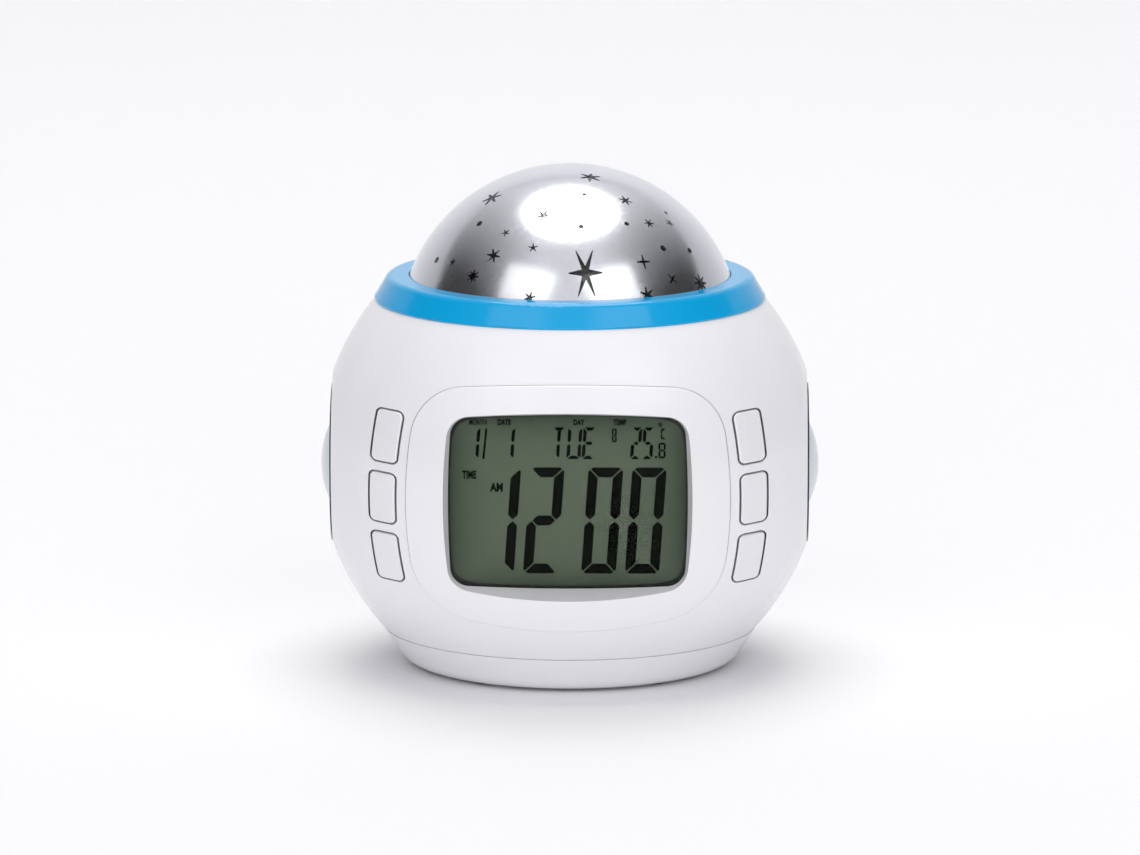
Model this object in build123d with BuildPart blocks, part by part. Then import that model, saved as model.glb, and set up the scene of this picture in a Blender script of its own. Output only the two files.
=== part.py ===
"""Ball-shaped alarm clock with a star-projector dome, in millimetres.

The origin is on the table under the middle of the whole clock, +Z is up and the display faces -Y.
The pieces are drawn about the ball's centre line and set in that frame as they are kept.
"""

import math
import os

from build123d import *

# Ball and its shells
BODY_R = 60.0
BALL_Y = -1.54
WALL = 2.2
FLAT_CUT = 3.8
FOOT_PROUD = 0.6
BASE_H = 8.5
SEAM_DROP = 40.2
RING_RISE = 38.3
SEAM_GAP = 0.12
SEAM_DEPTH = 0.7

# Display face and window
FACE_HALF_W = 37.8
FACE_HALF_H = 29.45
FACE_DROP = 2.75
FACE_SIDE_SAG = 3.3
FACE_END_SAGS = (2.7, 4.5)
FACE_CORNER_RADII = (14.0, 17.0)
FACE_PROUD = 0.5
FACE_ROUND = 0.5
FACE_T = 4.6
FACE_FIT = 0.08
FACE_FLANGE = 0.8
FACE_FLANGE_T = 1.8
WELL_WALL = 1.2
WINDOW_HALF_W = 27.9
WINDOW_HALF_H = 20.55
WINDOW_DROP = 1.9
WINDOW_SIDE_SAG = 0.8
WINDOW_END_SAGS = (0.8, 0.8)
WINDOW_CORNER_RADII = (4.5, 4.5)
WINDOW_DRAFT = 12.0
LENS_SET_BACK = 12.0
LENS_T = 1.4
LENS_MARGIN = 0.9
LENS_FIT = 0.1
STACK_GAP = 0.2
LCD_HALF_W = 28.4
LCD_HALF_H = 21.3
LCD_T = 1.8
LCD_FIT = 0.2
BACKLIGHT_MARGIN = 0.9
BACKLIGHT_T = 3.0
FLEX_LEDGE = 2.6
FLEX_W = 20.0
FLEX_T = 0.3
FLEX_TAB = 1.6
FLEX_SLOT = 0.5
FRAME_WALL = 1.2
FRAME_T = 1.5
FRAME_LEG_R = 2.0
FRAME_LEG_INSET = 5.0
FRAME_LEG_L = 12.7

# Main board
BOARD_T = 1.6
BOARD_HALF_W = 46.0
BOARD_UP = 18.5
BOARD_DOWN = 23.0
BOARD_EDGE_R = 48.0
BOARD_POST_R = 2.5
BOARD_POST_X = 33.5
BOARD_POST_UP = 14.5
BOARD_POST_DOWN = 19.5
CHIP_SIZE = 12.0
CHIP_T = 1.6
SOCKET_W = 6.0
SOCKET_H = 4.0
SOCKET_L = 5.0
SOCKET_ASIDE = 20.0
SOCKET_UP = 11.0
SOCKET_DOWN = 17.0
SOCKET_SIDE_X = 36.0
SWITCH_SIZE = 4.5
SWITCH_H = 3.5
PLUNGER_R = 1.7
PLUNGER_PROUD = 1.5
PLUNGER_FIT = 0.15
PLUNGER_ROOM = 0.5

# Keys beside the display
KEY_INNER_X = 40.4
KEY_WIDTH = 6.0
KEY_HEIGHT = 11.6
KEY_PITCH = 14.4
KEY_DROP = 2.2
KEY_COLUMN_R = 96.0
KEY_CORNER_R = 1.2
KEY_GAP = 0.45
KEY_PROUD = 0.3
KEY_ROUND = 0.3
KEY_CAP_T = 3.3
KEY_FLANGE = 0.6
KEY_FLANGE_T = 1.2
KEY_FLANGE_GAP = 0.4
KEY_STEM_R = 2.0
KEY_STEM_IN = 1.5
KEY_STEM_SHIFT = 3.4
KEY_TRAVEL = 0.8

# Round buttons on the flat sides
SIDE_DROP = 1.3
SIDE_RING_R = 19.0
SIDE_RING_PROUD = 0.45
SIDE_RIM_W = 1.6
SIDE_DISH_DEPTH = 2.25
SIDE_BORE_R = 14.0
SIDE_LIP_T = 2.4
SIDE_TUBE_R = 16.8
SIDE_TUBE_WALL = 1.5
SIDE_TUBE_L = 13.2
SIDE_TUBE_FIT = 0.2
SIDE_BEAD = 0.6
SIDE_BEAD_L = 1.2
SIDE_EDGE_R = 0.3
SIDE_BUTTON_GAP = 0.4
SIDE_DOME_R = 21.2
SIDE_DOME_PROUD = 2.55
SIDE_BUTTON_T = 1.8
SIDE_FLANGE = 1.3
SIDE_FLANGE_T = 1.6
SIDE_FLANGE_GAP = 0.4
SIDE_BOARD_T = 1.2
SIDE_TRAVEL = 1.0

# Ring, dome and star lamp on top
RING_H = 5.7
RING_TOP_T = 1.7
RING_OVERHANG = 0.5
RING_LEAN = 3.4
RING_TOP_ROUND = 1.8
RING_FOOT_ROUND = 0.4
RING_FIT = 0.2
SKIRT_T = 1.3
SKIRT_DROP = 2.6
SKIRT_BEAD = 0.7
SKIRT_BEAD_H = 1.2
DOME_R = 40.8
DOME_SINK = 9.0
MASK_T = 0.15
MASK_FIT = 0.05
LIP_GAP = 0.2
DOME_T = 1.6
DOME_FLANGE_T = 1.4
DECK_FIT = 0.3
DECK_T = 1.6
DECK_RIM_W = 1.8
DECK_RIM_H = 1.6
DECK_BOSS_R = 1.6
DECK_BOSS_INSET = 1.6
DECK_BOSS_FIT = 0.25
DECK_SCREW_COUNT = 4
DECK_SCREW_TURN = 45
PILLAR_R = 6.0
PILLAR_BORE_R = 4.0
PILLAR_H = 6.4
LAMP_BOARD_R = 8.0
LAMP_BOARD_T = 1.2
LAMP_R = 1.5
LAMP_RIM = 0.3
LAMP_RIM_T = 1.0
LAMP_H = 3.2
LAMP_CIRCLE_R = 4.0
LAMP_COUNT = 4

# Star cut-outs at the front of the silver skin, as seen from SIGHT_TILT above level: each one's place
# across and up from the dome's middle, its rays, where 0 is a round hole, and its reach
SIGHT_TILT = 10.6
FRONT_STARS = (
    (4.9, 36.9, 6, 2.6),
    (-18.3, 31.9, 6, 2.6),
    (13.2, 31.2, 6, 1.7),
    (3.5, 32.6, 0, 0.5),
    (22.7, 28.5, 0, 0.5),
    (23.6, 26.0, 5, 1.2),
    (-5.9, 27.4, 6, 1.7),
    (2.9, 24.8, 0, 0.6),
    (-21.1, 25.7, 0, 0.8),
    (-14.8, 23.4, 5, 1.1),
    (13.5, 25.6, 0, 0.6),
    (18.8, 25.8, 6, 1.4),
    (22.1, 19.9, 0, 0.8),
    (28.3, 19.5, 0, 0.7),
    (-17.6, 18.0, 6, 1.9),
    (-8.3, 19.8, 5, 1.2),
    (-27.3, 16.6, 5, 1.2),
    (-31.2, 17.2, 0, 0.8),
    (-22.4, 13.2, 8, 1.7),
    (17.5, 16.6, 4, 1.8),
    (24.3, 12.7, 4, 1.6),
    (30.9, 11.8, 8, 2.2),
    (18.4, 8.8, 6, 1.9),
    (-9.0, 8.0, 6, 1.4),
)
STAR_RAY_W = 0.36
STAR_TIP_W = 0.16
STAR_CUT = 1.5
BIG_STAR_ACROSS = 4.0
BIG_STAR_UP = 13.9
BIG_STAR_RAYS = 6
BIG_STAR_SIZE = 6.6
BIG_STAR_RAY_W = 0.26
BIG_STAR_TIP_W = 0.05
BIG_STAR_NARROW = 0.6

# Star cut-outs at the back, scattered in rows, with the rays of each in turn
BACK_STAR_KINDS = (6, 4, 0, 8, 5, 6, 0)
BACK_STARS_Y = 6.0
STAR_FIRST_ROW = 15.0
STAR_ROW_STEP = 12.0
STAR_ROWS = 5
STAR_PITCH = 10.0
STAR_SCATTER = 0.7
STAR_SIZE = 0.8
STAR_RAY_STEP = 0.16
GOLDEN = (math.sqrt(5) - 1) / 2

# Base, battery box and door
BASE_DRAFT_R = 5.5
BASE_FOOT_ROUND = 5.0
BASE_FLOOR_T = 2.4
CELL_R = 5.25
CELL_L = 43.5
CELL_NUB_R = 1.9
CELL_NUB_L = 1.0
CELL_PITCH = 11.3
CELL_COUNT = 3
CELL_ROOF_GAP = 0.5
CELL_SIDE_GAP = 0.5
CONTACT_ROOM = 4.75
CONTACT_T = 0.4
CONTACT_W = 6.0
CONTACT_FOOT = 4.2
CONTACT_BEND = 3.2
CONTACT_TIP = 0.8
CONTACT_GAP = 0.1
BOX_WALL = 1.6
DOOR_LEDGE = 0.6
DOOR_T = 2.0
DOOR_GAP = 0.4
DOOR_SINK = 0.1
HINGE_PIN_R = 0.6
HINGE_PIN_L = 1.6
HINGE_FIT = 0.1
HINGE_GAP = 0.3
NAIL_SLOT_W = 12.0
NAIL_SLOT_L = 3.0
NAIL_SLOT_DEPTH = 1.2
PAD_R = 3.5
PAD_SINK = 0.8
PAD_X = 19.0
PAD_Y = 26.0
PAD_FIT = 0.1
PAD_ROUND = 0.3
BASE_SCREW_X = 31.5
BASE_SCREW_Y = 9.0
BASE_BOSS_R = 3.0
LUG_L = 15.0
LUG_TIP = 2.4
LUG_W = 7.0
LUG_T = 3.0

# Screws
SCREW_R = 1.3
SCREW_FIT = 0.1
SCREW_CLEAR = 0.3
SCREW_HEAD_R = 2.3
SCREW_HEAD_T = 1.5
SCREW_CROSS_W = 0.7
SCREW_CROSS_DEPTH = 0.8
SMALL_SCREW_R = 0.85
SMALL_HEAD_R = 1.4
SMALL_HEAD_T = 1.2
SHELL_BOSS_R = 4.0
SHELL_WELL_R = 3.0
SHELL_WELL_SEAT = 8.0
SHELL_SCREW_GRIP = 10.0
SHELL_UPPER_X = 35.5
SHELL_UPPER_RISE = 29.5
SHELL_LOWER_X = 39.5
SHELL_LOWER_DROP = 31.5
BASE_SCREW_GRIP = 2.6
BOARD_SCREW_GRIP = 6.0
DECK_SCREW_GRIP = 3.6
SPEAKER_SCREW_GRIP = 3.0

# Speaker behind the sound holes
SPEAKER_RISE = 2.0
SPEAKER_SEAT_Y = 51.2
SPEAKER_R = 18.0
SPEAKER_FLANGE_T = 1.2
SPEAKER_SEAT_W = 2.0
SPEAKER_BASKET_R = 15.2
SPEAKER_BASKET_T = 1.0
SPEAKER_BASKET_L = 7.0
SPEAKER_MAGNET_R = 9.0
SPEAKER_MAGNET_L = 5.0
SPEAKER_CONE_T = 0.5
SPEAKER_CONE_L = 4.0
SPEAKER_CONE_GAP = 1.0
SPEAKER_CAP_R = 5.0
SPEAKER_BOSS_R = 2.2
SPEAKER_BOSS_GAP = 0.2
SPEAKER_WASHER_R = 3.2
SPEAKER_SCREW_COUNT = 3
TERMINAL_W = 6.0
TERMINAL_H = 5.0
SOUND_HOLE_R = 0.9
SOUND_PITCH = 3.4
SOUND_RINGS = 4
SOUND_FIRST_RING = 6

# Leads
LEAD_R = 0.8
LEAD_BEND_R = 4.0
LEAD_TAIL = 14.0
LEAD_SPEAKER_BEND_Y = 10.0

# Places worked out from the sizes above
SEAM_Z = FOOT_PROUD + BASE_H
CENTRE_Z = SEAM_Z + SEAM_DROP
RING_Z = CENTRE_Z + RING_RISE
BALL_CENTRE = (0, 0, CENTRE_Z)
INNER_R = BODY_R - WALL
FLAT_X = BODY_R - FLAT_CUT
FACE_Z = CENTRE_Z - FACE_DROP
WINDOW_Z = CENTRE_Z - WINDOW_DROP
KEY_Z = CENTRE_Z - KEY_DROP
SIDE_Z = CENTRE_Z - SIDE_DROP
SPEAKER_Z = CENTRE_Z + SPEAKER_RISE
LENS_DEPTH = BODY_R - LENS_SET_BACK
LENS_BACK = LENS_DEPTH - LENS_T
LCD_FRONT = LENS_BACK - STACK_GAP
LCD_BACK = LCD_FRONT - LCD_T
BACKLIGHT_FRONT = LCD_BACK - STACK_GAP
BACKLIGHT_BACK = BACKLIGHT_FRONT - BACKLIGHT_T
FRAME_FRONT = BACKLIGHT_BACK - STACK_GAP
FRAME_BACK = FRAME_FRONT - FRAME_T
BOARD_DEPTH = FRAME_BACK - FRAME_LEG_L
BOARD_BACK = BOARD_DEPTH - BOARD_T
KEY_TIP_DEPTH = BOARD_DEPTH + SWITCH_H + PLUNGER_PROUD
UPRIGHT = (Align.CENTER, Align.CENTER, Align.MIN)

os.makedirs("parts", exist_ok=True)


def keep(builder, name):
    """Set a finished piece in the clock's frame, label it and write its STEP file."""
    piece = builder.part.moved(Location((0, BALL_Y, 0)))
    piece.label = name
    export_step(piece, f"parts/{name}.step")


def front_plane(depth, height, x=0.0):
    """A plane that faces the front, at a depth in front of the ball's centre."""
    return Plane(origin=(x, -depth, height), x_dir=(1, 0, 0), z_dir=(0, -1, 0))


def rear_plane(depth, height, x=0.0):
    """A plane that faces the rear, at a depth behind the ball's centre."""
    return Plane(origin=(x, depth, height), x_dir=(-1, 0, 0), z_dir=(0, 1, 0))


def circle_at(radius, rise):
    """The radius of a ball's level section at a rise over its centre."""
    return math.sqrt(radius**2 - rise**2)


def ball_slice(radius, low_z, high_z, half_width):
    """The body's ball at some radius, cut level below and above and flat on both sides."""
    with BuildPart() as blank:
        with Locations(BALL_CENTRE):
            Sphere(radius)
        with Locations((0, 0, low_z)):
            Box(2 * half_width, 2 * radius, high_z - low_z, align=UPRIGHT, mode=Mode.INTERSECT)
    return blank.part


def tube_outline(plane, half_w, half_h, side_sag, end_sags, corner_radii, grow=0.0):
    """A picture-tube outline: four bulging arcs with round corners, grown by an offset.

    The sags of the ends and the corner radii are each given for the top and for the foot.
    """
    edge_x = half_w + grow
    edge_z = half_h + grow
    corner_x = edge_x - side_sag
    top_z = edge_z - end_sags[0]
    foot_z = end_sags[1] - edge_z
    middle_z = (top_z + foot_z) / 2
    with BuildSketch(plane) as outline:
        with BuildLine():
            ThreePointArc((corner_x, foot_z), (edge_x, middle_z), (corner_x, top_z))
            ThreePointArc((corner_x, top_z), (0, edge_z), (-corner_x, top_z))
            ThreePointArc((-corner_x, top_z), (-edge_x, middle_z), (-corner_x, foot_z))
            ThreePointArc((-corner_x, foot_z), (0, -edge_z), (corner_x, foot_z))
        make_face()
        fillet(outline.vertices().group_by(Axis.Y)[-1], corner_radii[0] + grow)
        fillet(outline.vertices().group_by(Axis.Y)[0], corner_radii[1] + grow)
    return outline.sketch


def face_outline(grow=0.0):
    """The display face seen from the front, on the ball's middle plane."""
    return tube_outline(
        front_plane(0, FACE_Z),
        FACE_HALF_W,
        FACE_HALF_H,
        FACE_SIDE_SAG,
        FACE_END_SAGS,
        FACE_CORNER_RADII,
        grow,
    )


def window_outline(depth, grow=0.0):
    """The display window seen from the front, at a depth."""
    return tube_outline(
        front_plane(depth, WINDOW_Z),
        WINDOW_HALF_W,
        WINDOW_HALF_H,
        WINDOW_SIDE_SAG,
        WINDOW_END_SAGS,
        WINDOW_CORNER_RADII,
        grow,
    )


def key_edge(sign, radius, rise):
    """A point on a key column's curved edge, at a rise over the column's middle."""
    return (sign * (KEY_INNER_X - KEY_COLUMN_R + circle_at(radius, rise)), rise)


def key_outline(sign, row, grow=0.0):
    """A key seen from the front: a piece of a curved column with level ends and round corners."""
    middle = row * KEY_PITCH
    low = middle - KEY_HEIGHT / 2 - grow
    high = middle + KEY_HEIGHT / 2 + grow
    inner = KEY_COLUMN_R - grow
    outer = KEY_COLUMN_R + KEY_WIDTH + grow
    with BuildSketch(front_plane(0, KEY_Z)) as outline:
        with BuildLine():
            inner_edge = [key_edge(sign, inner, rise) for rise in (low, middle, high)]
            outer_edge = [key_edge(sign, outer, rise) for rise in (high, middle, low)]
            ThreePointArc(*inner_edge)
            Line(inner_edge[-1], outer_edge[0])
            ThreePointArc(*outer_edge)
            Line(outer_edge[-1], inner_edge[0])
        make_face()
        fillet(outline.vertices(), KEY_CORNER_R + grow)
    return outline.sketch


def key_centre(sign, row):
    """The place of a key's stem, drawn towards the display so that its switch clears the shell."""
    x, rise = key_edge(sign, KEY_COLUMN_R + KEY_STEM_IN, row * (KEY_PITCH - KEY_STEM_SHIFT))
    return x, KEY_Z + rise


def curved_panel(outline, outer_r, inner_r, round_r=0.0):
    """A panel of the ball: an outline drawn towards the front, kept between two radii."""
    with BuildPart() as panel:
        extrude(outline, amount=outer_r)
        with Locations(BALL_CENTRE):
            Sphere(outer_r, mode=Mode.INTERSECT)
            Sphere(inner_r, mode=Mode.SUBTRACT)
        if round_r > 0:
            fillet(panel.faces().sort_by_distance(BALL_CENTRE)[-1].edges(), round_r)
    return panel.part


def wall_post(plane, radius, reach):
    """A round post from a plane out to the ball's wall, trimmed at a reach from the centre."""
    with BuildPart() as post:
        with BuildSketch(plane):
            Circle(radius)
        extrude(amount=BODY_R)
        with Locations(BALL_CENTRE):
            Sphere(reach, mode=Mode.INTERSECT)
    return post.part


def screw(plane, shank_r, shank_l, head_r, head_t):
    """A pan-head screw with a cross recess, seated on a plane and driven along its normal."""
    with BuildPart(plane) as one:
        Cylinder(shank_r, shank_l, align=UPRIGHT)
        with Locations((0, 0, -head_t)):
            Cylinder(head_r, head_t, align=UPRIGHT)
            Box(SCREW_CROSS_W, head_r, 2 * SCREW_CROSS_DEPTH, mode=Mode.SUBTRACT)
            Box(head_r, SCREW_CROSS_W, 2 * SCREW_CROSS_DEPTH, mode=Mode.SUBTRACT)
    return one.part


# Shell halves: a ball cut level at the base and ring, with a thin shadow line round the seam
shell_outer = ball_slice(BODY_R, SEAM_Z, RING_Z, FLAT_X)
shell_inner = ball_slice(INNER_R, SEAM_Z - WALL, RING_Z + WALL, FLAT_X - WALL)
seam_core = ball_slice(BODY_R - SEAM_DEPTH, SEAM_Z - WALL, RING_Z + WALL, FLAT_X - SEAM_DEPTH)
SHELL_BOSSES = [
    (sign * x, CENTRE_Z + rise)
    for sign in (-1, 1)
    for x, rise in ((SHELL_UPPER_X, SHELL_UPPER_RISE), (SHELL_LOWER_X, -SHELL_LOWER_DROP))
]
WALL_MIDDLE = BODY_R - WALL / 2
front_posts = [wall_post(front_plane(0, z, x), SHELL_BOSS_R, WALL_MIDDLE) for x, z in SHELL_BOSSES]
rear_posts = [wall_post(rear_plane(0, z, x), SHELL_BOSS_R, WALL_MIDDLE) for x, z in SHELL_BOSSES]
lug_ball = ball_slice(WALL_MIDDLE, SEAM_Z, SEAM_Z + LUG_T, FLAT_X)


def base_lugs(y):
    """Two tabs inside a shell's lower rim, which the base screws bite into."""
    with BuildPart() as lugs:
        with Locations((BASE_SCREW_X, y, SEAM_Z), (-BASE_SCREW_X, y, SEAM_Z)):
            Box(2 * LUG_TIP, LUG_W, LUG_T, align=UPRIGHT)
        with Locations((BASE_SCREW_X, y, SEAM_Z)):
            Box(LUG_L, LUG_W, LUG_T, align=(Align.MIN, Align.CENTER, Align.MIN))
        with Locations((-BASE_SCREW_X, y, SEAM_Z)):
            Box(LUG_L, LUG_W, LUG_T, align=(Align.MAX, Align.CENTER, Align.MIN))
        add(lug_ball, mode=Mode.INTERSECT)
        with Locations((BASE_SCREW_X, y, SEAM_Z), (-BASE_SCREW_X, y, SEAM_Z)):
            Hole(SCREW_R + SCREW_FIT)
    return lugs.part


front_lugs = base_lugs(-BASE_SCREW_Y)
rear_lugs = base_lugs(BASE_SCREW_Y)
face_opening = face_outline(FACE_FIT)
KEY_ROWS = {"upper": 1, "middle": 0, "lower": -1}
SIDES = {"left": -1, "right": 1}
KEY_SPOTS = [(sign, row) for sign in SIDES.values() for row in KEY_ROWS.values()]
key_openings = [key_outline(sign, row, KEY_GAP) for sign, row in KEY_SPOTS]

with BuildPart() as seam_line:
    Box(2 * BODY_R, SEAM_GAP, 2 * BODY_R + CENTRE_Z, align=(Align.CENTER, Align.MAX, Align.MIN))
    add(seam_core, mode=Mode.SUBTRACT)

with BuildPart() as front_shell:
    add(shell_outer)
    add(shell_inner, mode=Mode.SUBTRACT)
    split(bisect_by=Plane.XZ, keep=Keep.TOP)
    add(seam_line.part, mode=Mode.SUBTRACT)
    add(front_posts)
    add(front_lugs)
    extrude(face_opening, amount=BODY_R, mode=Mode.SUBTRACT)
    for opening in key_openings:
        extrude(opening, amount=BODY_R, mode=Mode.SUBTRACT)
    with Locations(*[front_plane(0, z, x) for x, z in SHELL_BOSSES]):
        Cylinder(SCREW_R + SCREW_FIT, SHELL_SCREW_GRIP + SCREW_R, align=UPRIGHT, mode=Mode.SUBTRACT)
    with BuildSketch(Plane.YZ):
        with Locations((0, SIDE_Z)):
            Circle(SIDE_TUBE_R + SIDE_TUBE_FIT)
    extrude(amount=BODY_R, both=True, mode=Mode.SUBTRACT)
keep(front_shell, "front_shell")

# Rear shell: screw wells, the speaker's seat and rings of sound holes
SPEAKER_BOSS_CIRCLE = SPEAKER_R + SPEAKER_BOSS_GAP + SPEAKER_BOSS_R
SPEAKER_FRONT_Y = SPEAKER_SEAT_Y - SPEAKER_FLANGE_T
speaker_plane = rear_plane(SPEAKER_SEAT_Y, SPEAKER_Z)
speaker_seat = wall_post(speaker_plane, SPEAKER_R, WALL_MIDDLE)
speaker_hollow = wall_post(speaker_plane, SPEAKER_R - SPEAKER_SEAT_W, INNER_R)
SPEAKER_TURNS = [
    math.pi / 2 + 2 * math.pi * step / SPEAKER_SCREW_COUNT
    for step in range(SPEAKER_SCREW_COUNT)
]
SPEAKER_BOSSES = [
    (SPEAKER_BOSS_CIRCLE * math.cos(turn), SPEAKER_Z + SPEAKER_BOSS_CIRCLE * math.sin(turn))
    for turn in SPEAKER_TURNS
]
speaker_bosses = [
    wall_post(rear_plane(SPEAKER_FRONT_Y, z, x), SPEAKER_BOSS_R, WALL_MIDDLE)
    for x, z in SPEAKER_BOSSES
]

with BuildPart() as rear_shell:
    add(shell_outer)
    add(shell_inner, mode=Mode.SUBTRACT)
    split(bisect_by=Plane.XZ, keep=Keep.BOTTOM)
    add(rear_posts)
    add(rear_lugs)
    add(speaker_seat)
    add(speaker_hollow, mode=Mode.SUBTRACT)
    add(speaker_bosses)
    with Locations(*[rear_plane(0, z, x) for x, z in SHELL_BOSSES]):
        Cylinder(SCREW_R + SCREW_CLEAR, BODY_R, align=UPRIGHT, mode=Mode.SUBTRACT)
    with Locations(*[rear_plane(SHELL_WELL_SEAT, z, x) for x, z in SHELL_BOSSES]):
        Cylinder(SHELL_WELL_R, BODY_R, align=UPRIGHT, mode=Mode.SUBTRACT)
    with Locations(*[rear_plane(SPEAKER_FRONT_Y, z, x) for x, z in SPEAKER_BOSSES]):
        pilot_l = SPEAKER_SCREW_GRIP + SCREW_R
        Cylinder(SMALL_SCREW_R + SCREW_FIT, pilot_l, align=UPRIGHT, mode=Mode.SUBTRACT)
    with BuildSketch(speaker_plane):
        Circle(SOUND_HOLE_R)
        for ring in range(1, SOUND_RINGS + 1):
            with PolarLocations(ring * SOUND_PITCH, SOUND_FIRST_RING * ring):
                Circle(SOUND_HOLE_R)
    extrude(amount=BODY_R, mode=Mode.SUBTRACT)
    with BuildSketch(Plane.YZ):
        with Locations((0, SIDE_Z)):
            Circle(SIDE_TUBE_R + SIDE_TUBE_FIT)
    extrude(amount=BODY_R, both=True, mode=Mode.SUBTRACT)
keep(rear_shell, "rear_shell")

with BuildPart() as shell_screws:
    for x, z in SHELL_BOSSES:
        seat = Plane(origin=(x, SHELL_WELL_SEAT, z), x_dir=(1, 0, 0), z_dir=(0, -1, 0))
        add(screw(seat, SCREW_R, SHELL_WELL_SEAT + SHELL_SCREW_GRIP, SCREW_HEAD_R, SCREW_HEAD_T))
keep(shell_screws, "shell_screws")

# Display face: a raised panel with a drafted window, pockets for the display and board posts
FACE_R = BODY_R + FACE_PROUD
face_panel = curved_panel(face_outline(), FACE_R, FACE_R - FACE_T, FACE_ROUND)
FACE_FLANGE_R = INNER_R - KEY_FLANGE_GAP / 4
face_flange = curved_panel(face_outline(FACE_FLANGE), FACE_FLANGE_R, FACE_FLANGE_R - FACE_FLANGE_T)
flange_notches = [key_outline(sign, row, KEY_FLANGE + KEY_GAP) for sign, row in KEY_SPOTS]
window = window_outline(LENS_DEPTH)
lens_pocket = window_outline(0, LENS_MARGIN + LENS_FIT)
well_outline = window_outline(LENS_BACK, LENS_MARGIN + LENS_FIT + WELL_WALL)
with BuildPart() as window_well:
    extrude(well_outline, amount=BODY_R)
    with Locations(BALL_CENTRE):
        Sphere(FACE_R - FACE_T / 2, mode=Mode.INTERSECT)
BOARD_POSTS = [
    (sign * BOARD_POST_X, CENTRE_Z + rise)
    for sign in SIDES.values()
    for rise in (BOARD_POST_UP, -BOARD_POST_DOWN)
]
POST_REACH = FACE_FLANGE_R - FACE_FLANGE_T / 2
board_posts = [
    wall_post(front_plane(BOARD_DEPTH, z, x), BOARD_POST_R, POST_REACH)
    for x, z in BOARD_POSTS
]
FRAME_HALF_W = LCD_HALF_W + FRAME_WALL - LCD_FIT
FRAME_HALF_H = LCD_HALF_H + FRAME_WALL - LCD_FIT

with BuildPart() as display_bezel:
    add(face_flange)
    for notch in flange_notches:
        extrude(notch, amount=BODY_R, mode=Mode.SUBTRACT)
    add(face_panel)
    add(window_well)
    add(board_posts)
    extrude(window, amount=BODY_R, taper=-WINDOW_DRAFT, mode=Mode.SUBTRACT)
    extrude(lens_pocket, amount=LENS_DEPTH, mode=Mode.SUBTRACT)
    with BuildSketch(front_plane(0, WINDOW_Z)):
        Rectangle(2 * (LCD_HALF_W + LCD_FIT), 2 * (LCD_HALF_H + LCD_FIT))
    extrude(amount=LENS_BACK, mode=Mode.SUBTRACT)
    with BuildSketch(front_plane(0, WINDOW_Z)):
        Rectangle(2 * (FRAME_HALF_W + LCD_FIT), 2 * (FRAME_HALF_H + LCD_FIT))
    extrude(amount=LCD_BACK, mode=Mode.SUBTRACT)
    with Locations(*[front_plane(BOARD_DEPTH, z, x) for x, z in BOARD_POSTS]):
        pilot_l = BOARD_SCREW_GRIP + SCREW_R
        Cylinder(SMALL_SCREW_R + SCREW_FIT, pilot_l, align=UPRIGHT, mode=Mode.SUBTRACT)
keep(display_bezel, "display_bezel")

lens_outline = window_outline(LENS_BACK, LENS_MARGIN)
with BuildPart() as display_lens:
    extrude(lens_outline, amount=LENS_T)
keep(display_lens, "display_lens")

# Display stack: glass, light guide, carrier frame and flat cable to the board
with BuildPart() as lcd_glass:
    with BuildSketch(front_plane(LCD_BACK, WINDOW_Z)):
        Rectangle(2 * LCD_HALF_W, 2 * LCD_HALF_H)
    extrude(amount=LCD_T)
keep(lcd_glass, "lcd_glass")

BACKLIGHT_HALF_W = LCD_HALF_W - BACKLIGHT_MARGIN
BACKLIGHT_TOP = LCD_HALF_H - BACKLIGHT_MARGIN
BACKLIGHT_FOOT = LCD_HALF_H - FLEX_LEDGE
with BuildPart() as lcd_backlight:
    with BuildSketch(front_plane(BACKLIGHT_BACK, WINDOW_Z)):
        with Locations((0, -BACKLIGHT_FOOT)):
            backlight_h = BACKLIGHT_TOP + BACKLIGHT_FOOT
            Rectangle(2 * BACKLIGHT_HALF_W, backlight_h, align=(Align.CENTER, Align.MIN))
    extrude(amount=BACKLIGHT_T)
keep(lcd_backlight, "lcd_backlight")

FLEX_DROP = LCD_HALF_H - FLEX_LEDGE + FLEX_TAB + FLEX_T
FLEX_Z = WINDOW_Z - FLEX_DROP
with BuildPart() as lcd_frame:
    with BuildSketch(front_plane(FRAME_BACK, WINDOW_Z)):
        Rectangle(2 * FRAME_HALF_W, 2 * FRAME_HALF_H)
    extrude(amount=BACKLIGHT_FRONT - FRAME_BACK)
    with BuildSketch(front_plane(FRAME_FRONT, WINDOW_Z)):
        Rectangle(2 * (FRAME_HALF_W - FRAME_WALL), 2 * (FRAME_HALF_H - FRAME_WALL))
    extrude(amount=BACKLIGHT_T + STACK_GAP, mode=Mode.SUBTRACT)
    with BuildSketch(front_plane(BOARD_DEPTH, WINDOW_Z)):
        leg_pitch_x = 2 * (FRAME_HALF_W - FRAME_LEG_INSET)
        leg_pitch_z = 2 * (FRAME_HALF_H - FRAME_LEG_INSET)
        with GridLocations(leg_pitch_x, leg_pitch_z, 2, 2):
            Circle(FRAME_LEG_R)
    extrude(amount=FRAME_LEG_L)
    with BuildSketch(front_plane(FRAME_BACK, FLEX_Z)):
        Rectangle(FLEX_W + 2 * FLEX_SLOT, FLEX_T + 2 * FLEX_SLOT)
    extrude(amount=FRAME_T, mode=Mode.SUBTRACT)
keep(lcd_frame, "lcd_frame")

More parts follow.
